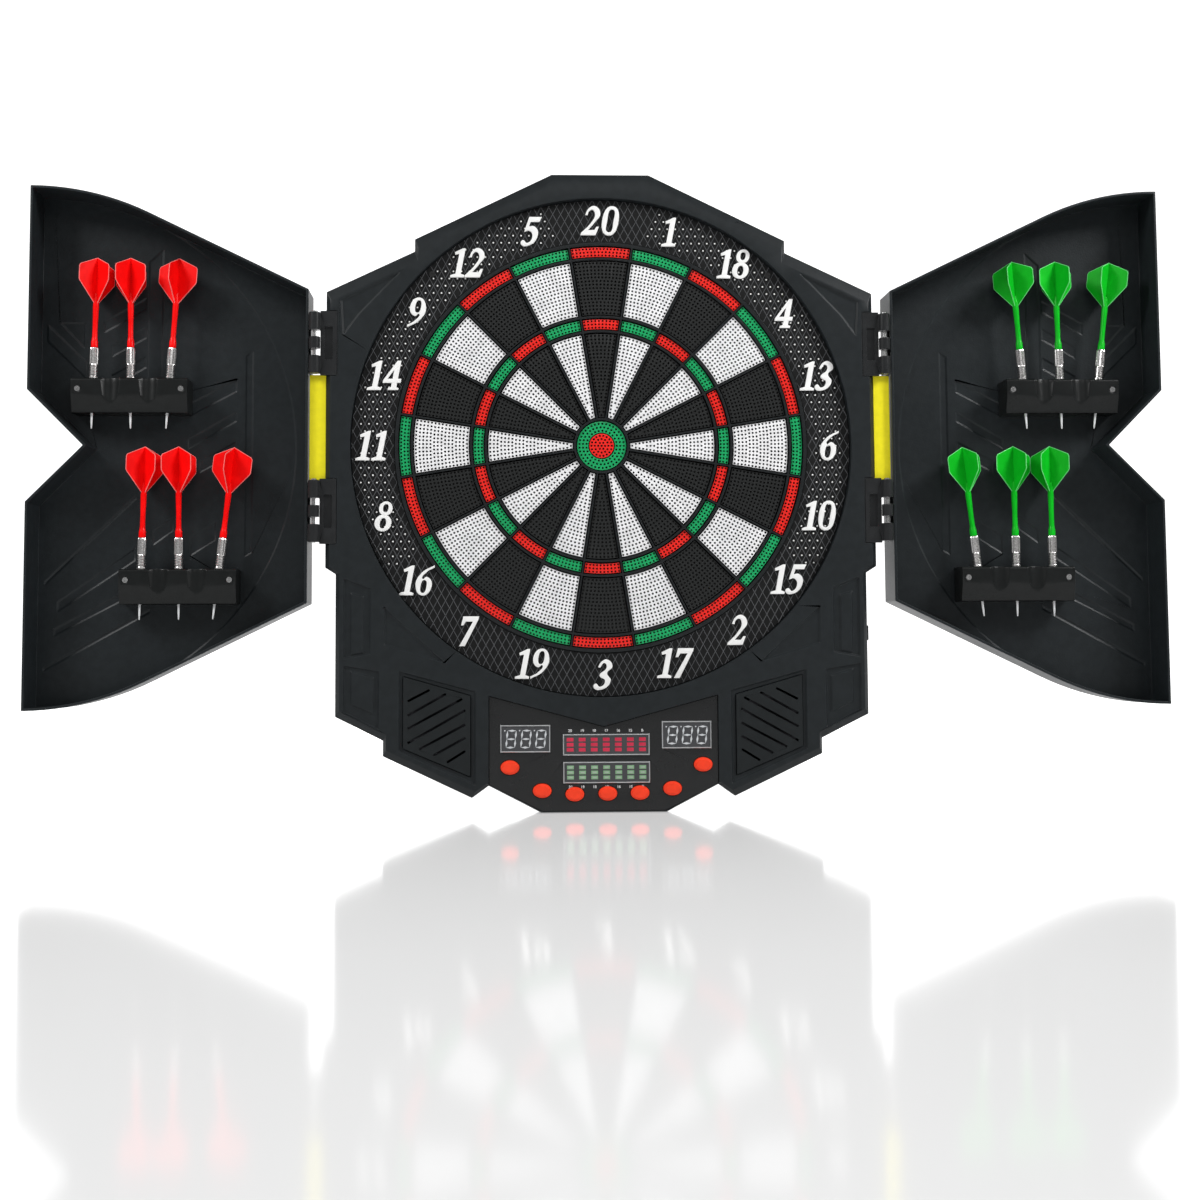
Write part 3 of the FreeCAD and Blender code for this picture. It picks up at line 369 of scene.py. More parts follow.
# %% Polished, printed and metal finishes
def polished(name, colour, roughness, coat=1.0, mottle=0.1):
    """Glossy surface under a clear coat, with faint dust and smears in its roughness."""
    material, wire = new_material(name, Coat_Weight=coat, Coat_Roughness=0.06)
    smear = wire.noise(25 * MM, 5.0).between(0.35, 0.75)
    return feed(material, Base_Color=smear.mix(shade(colour, 1), shade(colour, 1 + mottle)),
                Roughness=smear * 0.12 + roughness)


def metal(name, colour, roughness, line=(2.0, 2.0, 0.12)):
    """Machined metal whose fine lines follow one axis; line is the detail's size in mm."""
    material, wire = new_material(name, Metallic=1.0)
    scale = tuple(1 / (size * MM) for size in line)
    stretched = wire.node("ShaderNodeMapping", None, {"Vector": wire.place(), "Scale": scale})
    lines = wire.node("ShaderNodeTexNoise", None, {"Vector": stretched, "Scale": 1.0, "Detail": 3.0})
    return feed(material, Base_Color=lines.mix(shade(colour, 0.85), shade(colour, 1.05)),
                Roughness=(lines - 0.5) * 0.2 + roughness, Normal=lines.bump(0.25, 0.02 * MM))


def flight_film(name, colour):
    """Thin tough film, smooth and a little brighter where it has been flexed."""
    material, wire = new_material(name, Coat_Weight=0.04, Coat_Roughness=0.12, Specular_IOR_Level=0.12)
    flexed = wire.noise(11 * MM, 2.0).between(0.4, 0.8)
    fine = wire.noise(1.2 * MM, 2.0)
    return feed(material, Base_Color=flexed.mix(shade(colour, 0.94), shade(colour, 1.1)),
                Roughness=(flexed - 0.5) * 0.1 + 0.34, Normal=fine.bump(0.12, 0.03 * MM))


FASCIA_GLOSS = polished("fascia_gloss", (0.004, 0.0045, 0.005), 0.22, coat=0.1)
DISPLAY_DARK = polished("display_dark", (0.035, 0.036, 0.04), 0.2, coat=0.5)
DIGIT_GREY = polished("digit_grey", (0.58, 0.60, 0.62), 0.4, coat=0.2, mottle=0.04)
LAMP_RED = polished("lamp_red", (0.52, 0.012, 0.05), 0.35, coat=0.3, mottle=0.3)
LAMP_GREEN = polished("lamp_green", (0.20, 0.37, 0.20), 0.35, coat=0.3, mottle=0.3)
LAMP_CORE = polished("lamp_core", (0.36, 0.42, 0.36), 0.4, coat=0.3)
PRINT_WHITE = polished("print_white", (0.7, 0.7, 0.7), 0.5, coat=0.0, mottle=0.05)
FRAME_SILVER = metal("frame_silver", (0.62, 0.63, 0.64), 0.38, line=(0.4, 0.4, 0.4))
BRIGHT_STEEL = metal("bright_steel", (0.72, 0.72, 0.72), 0.25)
SCREW_BLACK = metal("screw_black", (0.06, 0.06, 0.06), 0.4)
BARREL_STEEL = metal("barrel_steel", (0.86, 0.84, 0.83), 0.28)
SPEAKER_METAL = metal("speaker_metal", (0.05, 0.05, 0.055), 0.6, line=(1.0, 1.0, 1.0))
DART_RED = flight_film("dart_red", (0.93, 0.003, 0.003))
DART_GREEN = flight_film("dart_green", (0.004, 0.44, 0.015))
# The paler edge films are painted highlights along the rims of the flights.
HIGHLIGHT_EDGE_RED = flight_film("highlight_edge_red", (0.92, 0.20, 0.19))
HIGHLIGHT_EDGE_GREEN = flight_film("highlight_edge_green", (0.16, 0.70, 0.22))
BOARD_GREEN = polished("board_green", (0.01, 0.09, 0.035), 0.35, coat=0.4, mottle=0.5)
MEMBRANE_FILM = polished("membrane_film", (0.42, 0.40, 0.33), 0.3, coat=0.4)
print("materials:", len(bpy.data.materials))

# %% [markdown]
# The camera stands a little left of the middle and below the bull, and looks slightly up and to
# the right. Its lens shift only moves the picture in its frame. It is set up before the pieces,
# so that every later step can be judged through it.

# %% Camera
CAMERA_PLACE = (-0.083, -1.382, -0.169)
CAMERA_TURN = -2.15
CAMERA_TILT = 3.98
CAMERA_ROLL = -0.28
LENS = 47.9


def set_camera():
    """Camera at the viewing angle, with plain perspective and no depth of field."""
    bpy.ops.object.camera_add(location=CAMERA_PLACE)
    camera = bpy.context.object
    turn = Matrix.Rotation(math.radians(CAMERA_TURN), 4, "Z")
    tip = Matrix.Rotation(math.radians(90 + CAMERA_TILT), 4, "X")
    roll = Matrix.Rotation(math.radians(CAMERA_ROLL), 4, "Z")
    camera.rotation_euler = (turn @ tip @ roll).to_euler()
    camera.data.lens = LENS
    camera.data.shift_x = 0.030
    camera.data.shift_y = -0.055
    camera.data.clip_start = 0.02
    bpy.context.scene.camera = camera


set_camera()

# %% [markdown]
# The stage is a pale sweep: a floor that meets the foot of the object and curves up into a wall
# behind it, so no horizon shows. Its polish gives the soft reflection under the board, and it
# glows more towards the back, so the background stays white. Two softboxes high at the sides
# throw the darts' shadows inwards and downwards, a big one in front fills, and the world gives
# even light all round.

# %% Stage and light
FLOOR_Z = CAD_BOX[0].z - 0.5 * MM


def make_stage():
    """Floor and wall in one curved sheet."""
    sweep = primitive("plane", "sweep", size=1.0)
    sweep.scale = (12, 6, 1)
    sweep.location = (0, -1.6, FLOOR_Z)
    settle(sweep)
    edit(sweep)
    bpy.ops.mesh.select_mode(type="EDGE")
    bpy.ops.mesh.select_all(action="DESELECT")
    shell = bmesh.from_edit_mesh(sweep.data)
    back = max(vertex.co.y for vertex in shell.verts)
    for edge in shell.edges:
        edge.select_set(all(abs(vertex.co.y - back) < 1e-6 for vertex in edge.verts))
    bmesh.update_edit_mesh(sweep.data)
    radius = 0.8
    bpy.ops.mesh.spin(steps=24, angle=math.radians(-90), axis=(1, 0, 0),
                      center=(0, back, FLOOR_Z + radius))
    bpy.ops.mesh.extrude_region_move(TRANSFORM_OT_translate={"value": (0, 0, 6)})
    leave_edit(outwards=False)
    smooth(sweep)
    floor, wire = new_material("pale_floor", Specular_IOR_Level=0.5, Emission_Strength=1.0)
    cloud = wire.noise(0.8, 2.0)
    far = wire.axis("Y").between(0.1, 0.8)
    feed(floor, Base_Color=cloud.mix((0.52, 0.52, 0.52, 1), (0.56, 0.56, 0.56, 1)),
         Roughness=cloud * 0.04 + 0.07,
         Emission_Color=far.mix((0.36, 0.36, 0.36, 1), (0.95, 0.95, 0.95, 1)))
    sweep.data.materials.append(floor)


def softbox(name, place, target, size, power):
    """Square area light that looks at a point."""
    bpy.ops.object.light_add(type="AREA", location=place)
    lamp = bpy.context.object
    lamp.name = name
    lamp.rotation_euler = (Vector(target) - Vector(place)).to_track_quat("-Z", "Y").to_euler()
    lamp.data.size = size
    lamp.data.energy = power


def make_light():
    """Two side softboxes, a broad front fill and an even world."""
    softbox("left_softbox", (-1.3, -0.75, 0.9), (-0.3, 0, 0.05), 0.45, 15)
    softbox("right_softbox", (1.3, -0.75, 0.9), (0.3, 0, 0.05), 0.45, 21)
    softbox("front_fill", (0.1, -2.4, 1.7), (0, 0, -0.05), 1.2, 10)
    world = bpy.data.worlds.new("even_light")
    world.use_nodes = True
    world.node_tree.nodes["Background"].inputs["Color"].default_value = (1, 1, 1, 1)
    world.node_tree.nodes["Background"].inputs["Strength"].default_value = 0.16
    bpy.context.scene.world = world


make_stage()
make_light()
bpy.context.scene.view_settings.view_transform = "Standard"
bpy.ops.object.select_all(action="DESELECT")
print("floor at z =", round(FLOOR_Z, 4))

# %% [markdown]
# The moulded shells already have their right shape, but their edges are knife sharp, and no
# moulding is. A copy of each shell has its doubled corner points merged, and a Bevel modifier
# gives every edge a small radius that catches the light. Weighted normals then keep the big faces
# flat up to that radius. The copy stands in for the node that it came from.

# %% Shells with soft edges
BODY_OF = {node: body for body, nodes in frame["record"]["behaviour"]["bodies"].items() for node in nodes}


def softened(node, width, material, slot, segments=2):
    """A copy of a node with rounded edges, in its place."""
    piece = bpy.data.objects.new(node + "_finished", frame["nodes"][node].data.copy())
    bpy.context.scene.collection.objects.link(piece)
    edit(piece)
    bpy.ops.mesh.remove_doubles(threshold=1e-6)
    leave_edit(outwards=False)
    round_edges(piece, width, segments, slide=False)
    modify(piece, "WEIGHTED_NORMAL", mode="FACE_AREA", weight=80, keep_sharp=True)
    return place_piece(piece, BODY_OF[node], material, slot, [node])


SOFT_SHELLS = [
    ("front_housing", 0.55, HOUSING_BLACK, "housing_black"),
    ("rear_cover", 0.4, COVER_BLACK, "cover_black"),
    ("catch_ring", 0.3, RING_BLACK, "ring_black"),
    ("spider", 0.28, SPIDER_BLACK, "spider_black"),
    ("control_fascia", 0.3, FASCIA_GLOSS, "fascia_gloss"),
    ("display_frames", 0.2, FRAME_SILVER, "frame_silver"),
    ("speaker_grilles", 0.35, GRILLE_BLACK, "grille_black"),
    ("power_socket", 0.3, SOCKET_BLACK, "socket_black"),
    ("hinge_brackets", 0.35, HINGE_BLACK, "hinge_black"),
    ("gap_strips", 0.5, STRIP_YELLOW, "strip_yellow"),
]
for side in ("left", "right"):
    SOFT_SHELLS += [
        (f"door_{side}", 0.5, DOOR_BLACK, "door_black"),
        (f"hinge_leaves_{side}", 0.35, HINGE_BLACK, "hinge_black"),
        (f"dart_holders_{side}", 0.7, HOLDER_BLACK, "holder_black"),
    ]
for number in range(1, 8):
    SOFT_SHELLS.append((f"button_{number}", 0.45, BUTTON_RED, "button_red"))
for node, width, material, slot in SOFT_SHELLS:
    finished = softened(node, width * MM, material, slot)
    print(node, "faces:", len(finished.data.polygons))

# %% [markdown]
# Nodes that are seen only in passing, or sit inside, keep their own mesh. Each still gets the
# material of what it really is.

# %% Materials for the nodes that stay
KEPT_NODES = {
    "rear_screws": BRIGHT_STEEL, "ring_screws": SCREW_BLACK, "holder_screws_left": BRIGHT_STEEL,
    "holder_screws_right": BRIGHT_STEEL, "hinge_pins": BRIGHT_STEEL, "foam_sheet": FOAM_GREY,
    "switch_membrane": MEMBRANE_FILM, "backing_plate": BACKING_GREY, "score_displays": DISPLAY_DARK,
    "cricket_display_red": DISPLAY_DARK, "cricket_display_green": DISPLAY_DARK,
    "button_switches": SWITCH_BLACK, "circuit_board": BOARD_GREEN, "speakers": SPEAKER_METAL,
}
for node, material in KEPT_NODES.items():
    frame["nodes"][node].data.materials.clear()
    frame["nodes"][node].data.materials.append(material)
    smooth(frame["nodes"][node])

# %% [markdown]
# A segment is one sector of a flat ring. Spinning a small upright rectangle round the bull makes
# the sector, and two bisecting planes trim it parallel to the spokes beside it, which a plain
# sector would not be. The holes are cut by a Boolean with a cluster of eight-sided pins. One
# segment is finished, and ten turned copies make up the ring's colour.

# %% Segment and pin helpers
SECTORS = 20
SECTOR = 2 * math.pi / SECTORS
SEGMENT_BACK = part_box("outer_singles_white")[1].y
PIN_DEPTH = 2.6 * MM


def spun_sector(name, inner, outer):
    """A sector a little wider than one spoke's pitch, lying along +X."""
    sweep = SECTOR * 1.06
    middle = ((inner + outer) / 2, (SEGMENT_FRONT + SEGMENT_BACK) / 2)
    turn = Matrix.Rotation(sweep / 2, 4, "Y")
    piece = primitive("plane", name, size=1.0)
    piece.scale = (outer - inner, SEGMENT_BACK - SEGMENT_FRONT, 1)
    piece.location = (*middle, 0)
    settle(piece)
    piece.data.transform(turn)
    edit(piece)
    bpy.ops.mesh.spin(steps=10, angle=sweep, center=(0, 0, 0), axis=(0, 1, 0))
    return piece


def trim_beside_spokes(half_gap):
    """In edit mode, cut both sides of a sector parallel to the spokes."""
    for side in (-1, 1):
        away = Vector((-math.sin(SECTOR / 2), 0, side * math.cos(SECTOR / 2)))
        bpy.ops.mesh.select_all(action="SELECT")
        bpy.ops.mesh.bisect(plane_co=-away * half_gap, plane_no=away, use_fill=True, clear_outer=True)
    leave_edit()


def pin_rows(inner, outer, rows, half_gap, pitch):
    """Places of the holes in a sector: arcs of evenly spaced holes, fewer towards the bull."""
    margin = (outer - inner) / rows / 2
    for row in range(rows):
        radius = inner + margin + (outer - inner - 2 * margin) * (row / max(rows - 1, 1))
        edge = SECTOR / 2 - math.asin((half_gap + pitch * 0.42) / radius)
        count = max(1, int(2 * edge * radius / pitch + 1.25))
        for hole in range(count):
            angle = 0 if count == 1 else edge * (2 * hole / (count - 1) - 1)
            yield radius * math.cos(angle), radius * math.sin(angle)


def pierce(piece, holes, radius):
    """Cut blind holes into the front face."""
    pin = primitive("cylinder", "pin", vertices=8, radius=radius, depth=2 * PIN_DEPTH,
                    rotation=(math.pi / 2, math.pi / 8, 0))
    places = [Matrix.Translation((x, SEGMENT_FRONT, z)) for x, z in holes]
    cutter = gathered("pins", pin, places)
    modify(piece, "BOOLEAN", operation="DIFFERENCE", object=cutter, solver="EXACT")
    bpy.data.objects.remove(cutter)
    return smooth(piece, 40)


def ring_of_segments(name, pattern, first):
    """Ten copies of a segment, every second sector; first is 0 for the sector at the top."""
    angles = [math.pi / 2 - (first + 2 * step) * SECTOR for step in range(SECTORS // 2)]
    turns = [Matrix.Rotation(-angle, 4, "Y") for angle in angles]
    return gathered(name, pattern, turns)


def copied(pattern):
    """A second object with its own copy of the mesh."""
    copy = pattern.copy()
    copy.data = pattern.data.copy()
    bpy.context.scene.collection.objects.link(copy)
    return copy


# %% Segments of the four rings
def radii_of(node):
    """Inner and outer radius of a ring of segments, from its own vertices."""
    points = [vertex.co for vertex in frame["nodes"][node].data.vertices]
    distances = [math.hypot(point.x, point.z) for point in points]
    return min(distances), max(distances)


RINGS = [
    # ring, node at the top sector, node beside it, half gap, rows, pitch and radius of the holes
    ("doubles", "doubles_red", "doubles_green", 1.4, 3, 3.0, 0.9),
    ("outer_singles", "outer_singles_black", "outer_singles_white", 1.7, 15, 3.1, 0.95),
    ("triples", "triples_red", "triples_green", 1.4, 3, 3.0, 0.9),
    ("inner_singles", "inner_singles_black", "inner_singles_white", 1.7, 23, 3.1, 0.95),
]
PAINT = {"red": SEGMENT_RED, "green": SEGMENT_GREEN, "black": SEGMENT_BLACK, "white": SEGMENT_WHITE}

for body, top_node, next_node, half_gap, rows, pitch, hole in RINGS:
    inner, outer = radii_of(top_node)
    segment = spun_sector(body + "_segment", inner, outer)
    trim_beside_spokes(half_gap * MM)
    round_edges(segment, 0.3 * MM)
    pierce(segment, list(pin_rows(inner, outer, rows, half_gap * MM, pitch * MM)), hole * MM)
    for first, node, pattern in ((0, top_node, copied(segment)), (1, next_node, segment)):
        colour = node.split("_")[-1]
        made = ring_of_segments(node + "_pierced", pattern, first)
        place_piece(made, body, PAINT[colour], f"segment_{colour}", [node])
        print(made.name, "faces:", len(made.data.polygons))

# %% [markdown]
# The two bulls are turned discs with rings of the same holes. The outer one is a ring, so it
# starts as a disc whose middle is cut out with another Boolean.

# %% Bulls
def bull_holes(rings):
    """Places of the holes on circles, given as (radius, count)."""
    for radius, count in rings:
        for step in range(count):
            angle = 2 * math.pi * step / count
            yield radius * MM * math.cos(angle), radius * MM * math.sin(angle)


def bull(node, rings, hole, material, slot):
    """A pierced disc or ring about the centre."""
    inner, outer = radii_of(node)
    depth = SEGMENT_BACK - SEGMENT_FRONT
    middle = (0, (SEGMENT_FRONT + SEGMENT_BACK) / 2, 0)
    piece = primitive("cylinder", node + "_pierced", vertices=72, radius=outer, depth=depth,
                      rotation=(math.pi / 2, 0, 0), location=middle)
    if node == "outer_bull":
        bore = primitive("cylinder", "bore", vertices=72, radius=inner, depth=2 * depth,
                         rotation=(math.pi / 2, 0, 0), location=middle)
        modify(piece, "BOOLEAN", operation="DIFFERENCE", object=bore, solver="EXACT")
        bpy.data.objects.remove(bore)
    round_edges(piece, 0.35 * MM)
    pierce(piece, list(bull_holes(rings)), hole * MM)
    place_piece(piece, node, material, slot, [node])
    return piece


bull("outer_bull", ((12.9, 25), (15.9, 31), (18.9, 37)), 0.95, SEGMENT_GREEN, "segment_green")
bull("inner_bull", ((0.0, 1), (2.9, 6), (5.8, 12), (8.7, 18)), 0.95, SEGMENT_RED, "segment_red")

# %% [markdown]
# The catch ring carries a raised lattice of tall diamonds. A square grid turned by 45 degrees and
# stretched gives the diamonds, the Wireframe modifier turns its edges into bars, and a Boolean
# with a flat ring trims the bars to the ring's width. Small raised studs sit in the diamonds at the
# sides, but not at the very top or along the bottom, and their white is a painted highlight: the
# glints that the side lights raise there.

# %% Lattice and studs of the catch ring
DIAMOND_W = 6.8 * MM
DIAMOND_H = 12.5 * MM
TRIM_REACH = 3 * MM
STUD_R = 0.75 * MM
STUD_IN = 181.5 * MM
STUD_OUT = 207 * MM
STUD_LOWEST = -30
STUD_HIGHEST = 77.5
RING_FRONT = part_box("catch_ring")[0].y
RING_IN, RING_OUT = radii_of("catch_ring")


def diamond_grid(cells=74):
    """Flat grid of diamonds in the plane of the ring's front, cut down to the ring's region."""
    grid = primitive("grid", "lattice", x_subdivisions=cells, y_subdivisions=cells, size=cells,
                     rotation=(0, 0, math.pi / 4))
    grid.scale = (DIAMOND_W / math.sqrt(2), DIAMOND_H / math.sqrt(2), 1)
    grid.rotation_euler = (math.pi / 2, 0, 0)
    grid.location = (0, RING_FRONT, 0)
    settle(grid)
    edit(grid)
    pick_faces(lambda centre, normal: not RING_IN - DIAMOND_H < math.hypot(centre.x, centre.z)
               < RING_OUT + DIAMOND_H)
    bpy.ops.mesh.delete(type="FACE")
    leave_edit(outwards=False)
    return grid


def flat_ring(name, inner, outer, front, back):
    """A washer about the bull's centre, for cutting."""
    depth = back - front
    middle = (0, (front + back) / 2, 0)
    shapes = [primitive("cylinder", name, vertices=160, radius=radius, depth=depth * tall,
                        rotation=(math.pi / 2, 0, 0), location=middle)
              for radius, tall in ((outer, 1), (inner, 2))]
    modify(shapes[0], "BOOLEAN", operation="DIFFERENCE", object=shapes[1], solver="EXACT")
    bpy.data.objects.remove(shapes[1])
    return shapes[0]


lattice = diamond_grid()
modify(lattice, "WIREFRAME", thickness=0.62 * MM, use_even_offset=True, use_boundary=True)
trimmer = flat_ring("trimmer", RING_IN + 0.4 * MM, RING_OUT - 0.3 * MM,
                    RING_FRONT - TRIM_REACH, RING_FRONT + TRIM_REACH)
modify(lattice, "BOOLEAN", operation="INTERSECT", object=trimmer, solver="EXACT")
bpy.data.objects.remove(trimmer)
place_piece(lattice, "cabinet", LATTICE_BLACK, "ring_black")
print("lattice faces:", len(lattice.data.polygons))


def stud_places():
    """Centres of the diamonds that hold a stud."""
    for column in range(-64, 65):
        for row in range(-34, 35):
            if (column + row) % 2:
                x = column * DIAMOND_W / 2
                z = row * DIAMOND_H / 2
                radius = math.hypot(x, z)
                angle = math.degrees(math.atan2(z, abs(x)))
                if STUD_IN < radius < STUD_OUT and STUD_LOWEST < angle < STUD_HIGHEST:
                    yield Matrix.Translation((x, RING_FRONT, z))


stud = primitive("uv_sphere", "stud", segments=10, ring_count=6, radius=STUD_R)
edit(stud)
bpy.ops.mesh.bisect(plane_co=(0, 0.2 * MM, 0), plane_no=(0, 1, 0), use_fill=True, clear_outer=True)
bpy.ops.mesh.select_all(action="SELECT")
bpy.ops.transform.resize(value=(1, 0.8, 1), center_override=(0, 0, 0))
leave_edit()
studs = smooth(gathered("ring_studs_painted_glints", stud, list(stud_places())), 50)
# The studs' white is a painted highlight: glints where the side lights catch the ring.
place_piece(studs, "cabinet", NUMERAL_WHITE, "numeral_white")
print("studs faces:", len(studs.data.polygons))

# %% [markdown]
# The numerals are bold and slanted, with thick sides, thin tops and small feet. Each
# digit is a flat curve: its outline has corner points and smooth points, on a body 100 units
# high. The curve is filled, given a thickness and a small bevel, made a mesh and copied to its
# places round the ring.

# %% Numerals
def loop(middle_x, middle_z, half_w, half_h):
    """An oval outline from four smooth points."""
    return [("s", middle_x - half_w, middle_z), ("s", middle_x, middle_z + half_h),
            ("s", middle_x + half_w, middle_z), ("s", middle_x, middle_z - half_h)]


def outline(text):
    """Points from a string such as 'c 3 72': c is a corner, s a smooth point."""
    words = text.split()
    return [(words[i], float(words[i + 1]), float(words[i + 2])) for i in range(0, len(words), 3)]


SIX = outline("c 47 100 s 12 75 s 0 34 s 25 -1 s 50 31 s 31 61 s 17 54 s 27 80 c 48 94")
GLYPHS = {
    "0": [loop(26, 50, 26, 51), loop(26, 50, 11, 42)],
    "1": [outline("c 27 100 c 34 100 c 34 11 c 47 6 c 47 0 c 4 0 c 4 6 c 19 11 c 19 83 c 6 80 c 4 87")],
    "2": [outline("c 3 72 s 10 93 s 28 101 s 49 76 s 38 48 c 18 16 c 41 16 c 46 28 c 52 28 c 47 0"
                  " c 0 0 c 0 6 s 26 42 s 34 74 s 22 90 s 11 83 c 9 71")],
    "3": [outline("c 4 77 s 12 95 s 28 101 s 47 79 s 34 56 s 50 30 s 20 -1 s 1 8 s 5 19 s 20 8"
                  " s 34 30 s 14 46 c 14 53 s 31 76 s 21 91 c 9 75")],
    "4": [outline("c 34 100 c 44 100 c 44 37 c 55 37 c 55 25 c 44 25 c 44 8 c 52 5 c 52 0 c 20 0"
                  " c 20 5 c 29 8 c 29 25 c 0 25 c 0 33"), outline("c 29 37 c 10 37 c 29 74")],
    "5": [outline("c 12 100 c 50 100 c 46 85 c 18 85 c 15 66 s 34 66 s 49 40 s 20 -1 s 1 7 s 5 18"
                  " s 20 8 s 34 34 s 21 53 c 5 50")],
    "6": [SIX, loop(25, 29, 10.5, 23)],
    "7": [outline("c 3 100 c 51 100 c 51 92 c 24 0 c 8 0 c 37 84 c 12 84 c 7 71 c 1 71")],
    "8": [loop(26, 77, 21, 24), loop(26, 27, 26, 28), loop(26, 78, 9, 15), loop(26, 26, 11, 19)],
    "9": [[(kind, 50 - x, 100 - z) for kind, x, z in SIX], loop(25, 71, 10.5, 23)],
}
NUMERAL_H = 24.6 * MM
NUMERAL_LEAN = math.tan(math.radians(11))
NUMERAL_SPREAD = 1.08
NARROW_STEP = 13.4 * MM
WIDE_STEP = 16.2 * MM
NUMBERS = (20, 1, 18, 4, 13, 6, 10, 15, 2, 17, 3, 19, 7, 16, 8, 11, 14, 9, 12, 5)
NUMERAL_R = 194.1 * MM
NUMERAL_SHIFT = 0.6 * MM


def digit(character):
    """One raised digit about the origin, facing -Y."""
    bpy.ops.object.select_all(action="DESELECT")
    bpy.ops.curve.primitive_bezier_circle_add()
    shape = bpy.context.object
    shape.data.splines.clear()
    shape.data.dimensions = "2D"
    shape.data.fill_mode = "BOTH"
    shape.data.resolution_u = 6
    unit = NUMERAL_H / 100
    for points in GLYPHS[character]:
        spline = shape.data.splines.new("BEZIER")
        spline.bezier_points.add(len(points) - 1)
        spline.use_cyclic_u = True
        for point, (kind, x, z) in zip(spline.bezier_points, points):
            point.co = (((x - 26) * NUMERAL_SPREAD + (z - 50) * NUMERAL_LEAN) * unit, (z - 50) * unit, 0)
            handle = "AUTO" if kind == "s" else "VECTOR"
            point.handle_left_type = handle
            point.handle_right_type = handle
    shape.data.extrude = 0.9 * MM
    shape.data.bevel_depth = 0.3 * MM
    shape.data.bevel_resolution = 1
    shape.data.offset = -0.05 * MM
    bpy.ops.object.convert(target="MESH")
    shape = bpy.context.object
    shape.rotation_euler = (math.pi / 2, 0, 0)
    settle(shape)
    edit(shape)
    leave_edit()
    return shape


def numeral_places():
    """Character and place of every digit round the ring."""
    for index, number in enumerate(NUMBERS):
        angle = math.pi / 2 - index * SECTOR
        text = str(number)
        for position, character in enumerate(text):
            step = NARROW_STEP if text[0] == "1" else WIDE_STEP
            across = (position - (len(text) - 1) / 2) * step + NUMERAL_SHIFT
            x = NUMERAL_R * math.cos(angle) + across
            yield character, Matrix.Translation((x, RING_FRONT - 1.2 * MM, NUMERAL_R * math.sin(angle)))


rows = []
for character in sorted(GLYPHS):
    places = [place for found, place in numeral_places() if found == character]
    rows.append(gathered("digits_" + character, digit(character), places))
pick_only(*rows)
bpy.ops.object.join()
numerals = smooth(rows[0], 40)
numerals.name = "numerals_raised"
place_piece(numerals, "cabinet", NUMERAL_WHITE, "numeral_white", ["numerals"])
print("numerals faces:", len(numerals.data.polygons))

# %% [markdown]
# Each score window shows three unlit seven-segment digits. A segment is a long flat hexagon, and
# seven copies make the digit. The cricket windows hold seven columns of three small lamps. The
# printed numbers beside them are plain text, made a mesh before it is placed.

# %% Displays
FASCIA_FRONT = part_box("control_fascia")[0].y
PRINT_T = 0.12 * MM


def seven_segment_digit():
    """The seven bars of a digit about 8.5 mm wide and 15 mm tall, and its point, facing -Y."""
    half_w, half_h, stroke = 3.6 * MM, 7.0 * MM, 1.25 * MM
    level = [(0, z, False, 2 * half_w) for z in (half_h, 0, -half_h)]
    standing = [(x, z, True, half_h) for z in (half_h / 2, -half_h / 2) for x in (-half_w, half_w)]
    bars = []
    for x, z, upright, length in level + standing:
        piece = primitive("cylinder", "bar", vertices=4, radius=stroke / math.sqrt(2), depth=PRINT_T,
                          rotation=(math.pi / 2, 0, 0))
        edit(piece)
        shell = bmesh.from_edit_mesh(piece.data)
        reach = length / 2 - stroke * 0.62
        for vertex in shell.verts:
            along = vertex.co.z if upright else vertex.co.x
            if abs(along) > 1e-6:
                push = math.copysign(reach, along)
                vertex.co += Vector((0, 0, push) if upright else (push, 0, 0))
        bmesh.update_edit_mesh(piece.data)
        leave_edit()
        piece.location = (x, 0, z)
        bars.append(settle(piece))
    point = primitive("cylinder", "point", vertices=12, radius=0.6 * MM, depth=PRINT_T,
                      rotation=(math.pi / 2, 0, 0), location=(-6.0 * MM, 0, half_h))
    pick_only(*bars, point)
    bpy.ops.object.join()
    return bars[0]


def middle_of(low, high):
    """Middle of a box, moved to its front face."""
    centre = (low + high) / 2
    return Vector((centre.x, low.y, centre.z))


def islands(node):
    """Centre of the front face of each separate solid of a node, from left to right."""
    points = sorted((vertex.co.copy() for vertex in frame["nodes"][node].data.vertices), key=lambda p: p.x)
    groups = [[points[0]]]
    for point in points[1:]:
        if point.x - groups[-1][-1].x > 45 * MM:
            groups.append([])
        groups[-1].append(point)
    for group in groups:
        low = Vector([min(p[axis] for p in group) for axis in range(3)])
        high = Vector([max(p[axis] for p in group) for axis in range(3)])
        yield middle_of(low, high)


places = []
for centre in islands("score_displays"):
    for column in (-1, 0, 1):
        slant = Matrix.Identity(4)
        slant[0][2] = 0.1
        shift = Vector((column * 12.4 * MM + 0.6 * MM, -PRINT_T / 2, -0.3 * MM))
        places.append(Matrix.Translation(centre + shift) @ slant)
score_digits = gathered("score_digits", seven_segment_digit(), places)
place_piece(score_digits, "cabinet", DIGIT_GREY, "frame_silver")

# %% Lamps and printed numbers
LAMP_COLUMN = 10.1 * MM
LAMP_ROW = 4.2 * MM


def lamp_block(name, centre, paint, core_paint, slot):
    """Seven columns of three small raised lamps, each with a smaller, prouder core in the core paint."""
    places = [Matrix.Translation(centre + Vector((column * LAMP_COLUMN, 0, row * LAMP_ROW)))
              for column in range(-3, 4) for row in (-1, 0, 1)]
    parts = (("lamps", (5.7, 3.0), 0.16, paint), ("cores", (3.4, 1.2), 0.24, core_paint))
    for part, (wide, high), proud, material in parts:
        cell = primitive("cube", "cell", size=1.0)
        cell.scale = (wide * MM, proud * 2 * MM, high * MM)
        settle(cell)
        round_edges(cell, 0.12 * MM)
        made = gathered(f"{name}_{part}", cell, places)
        place_piece(made, "cabinet", material, slot)


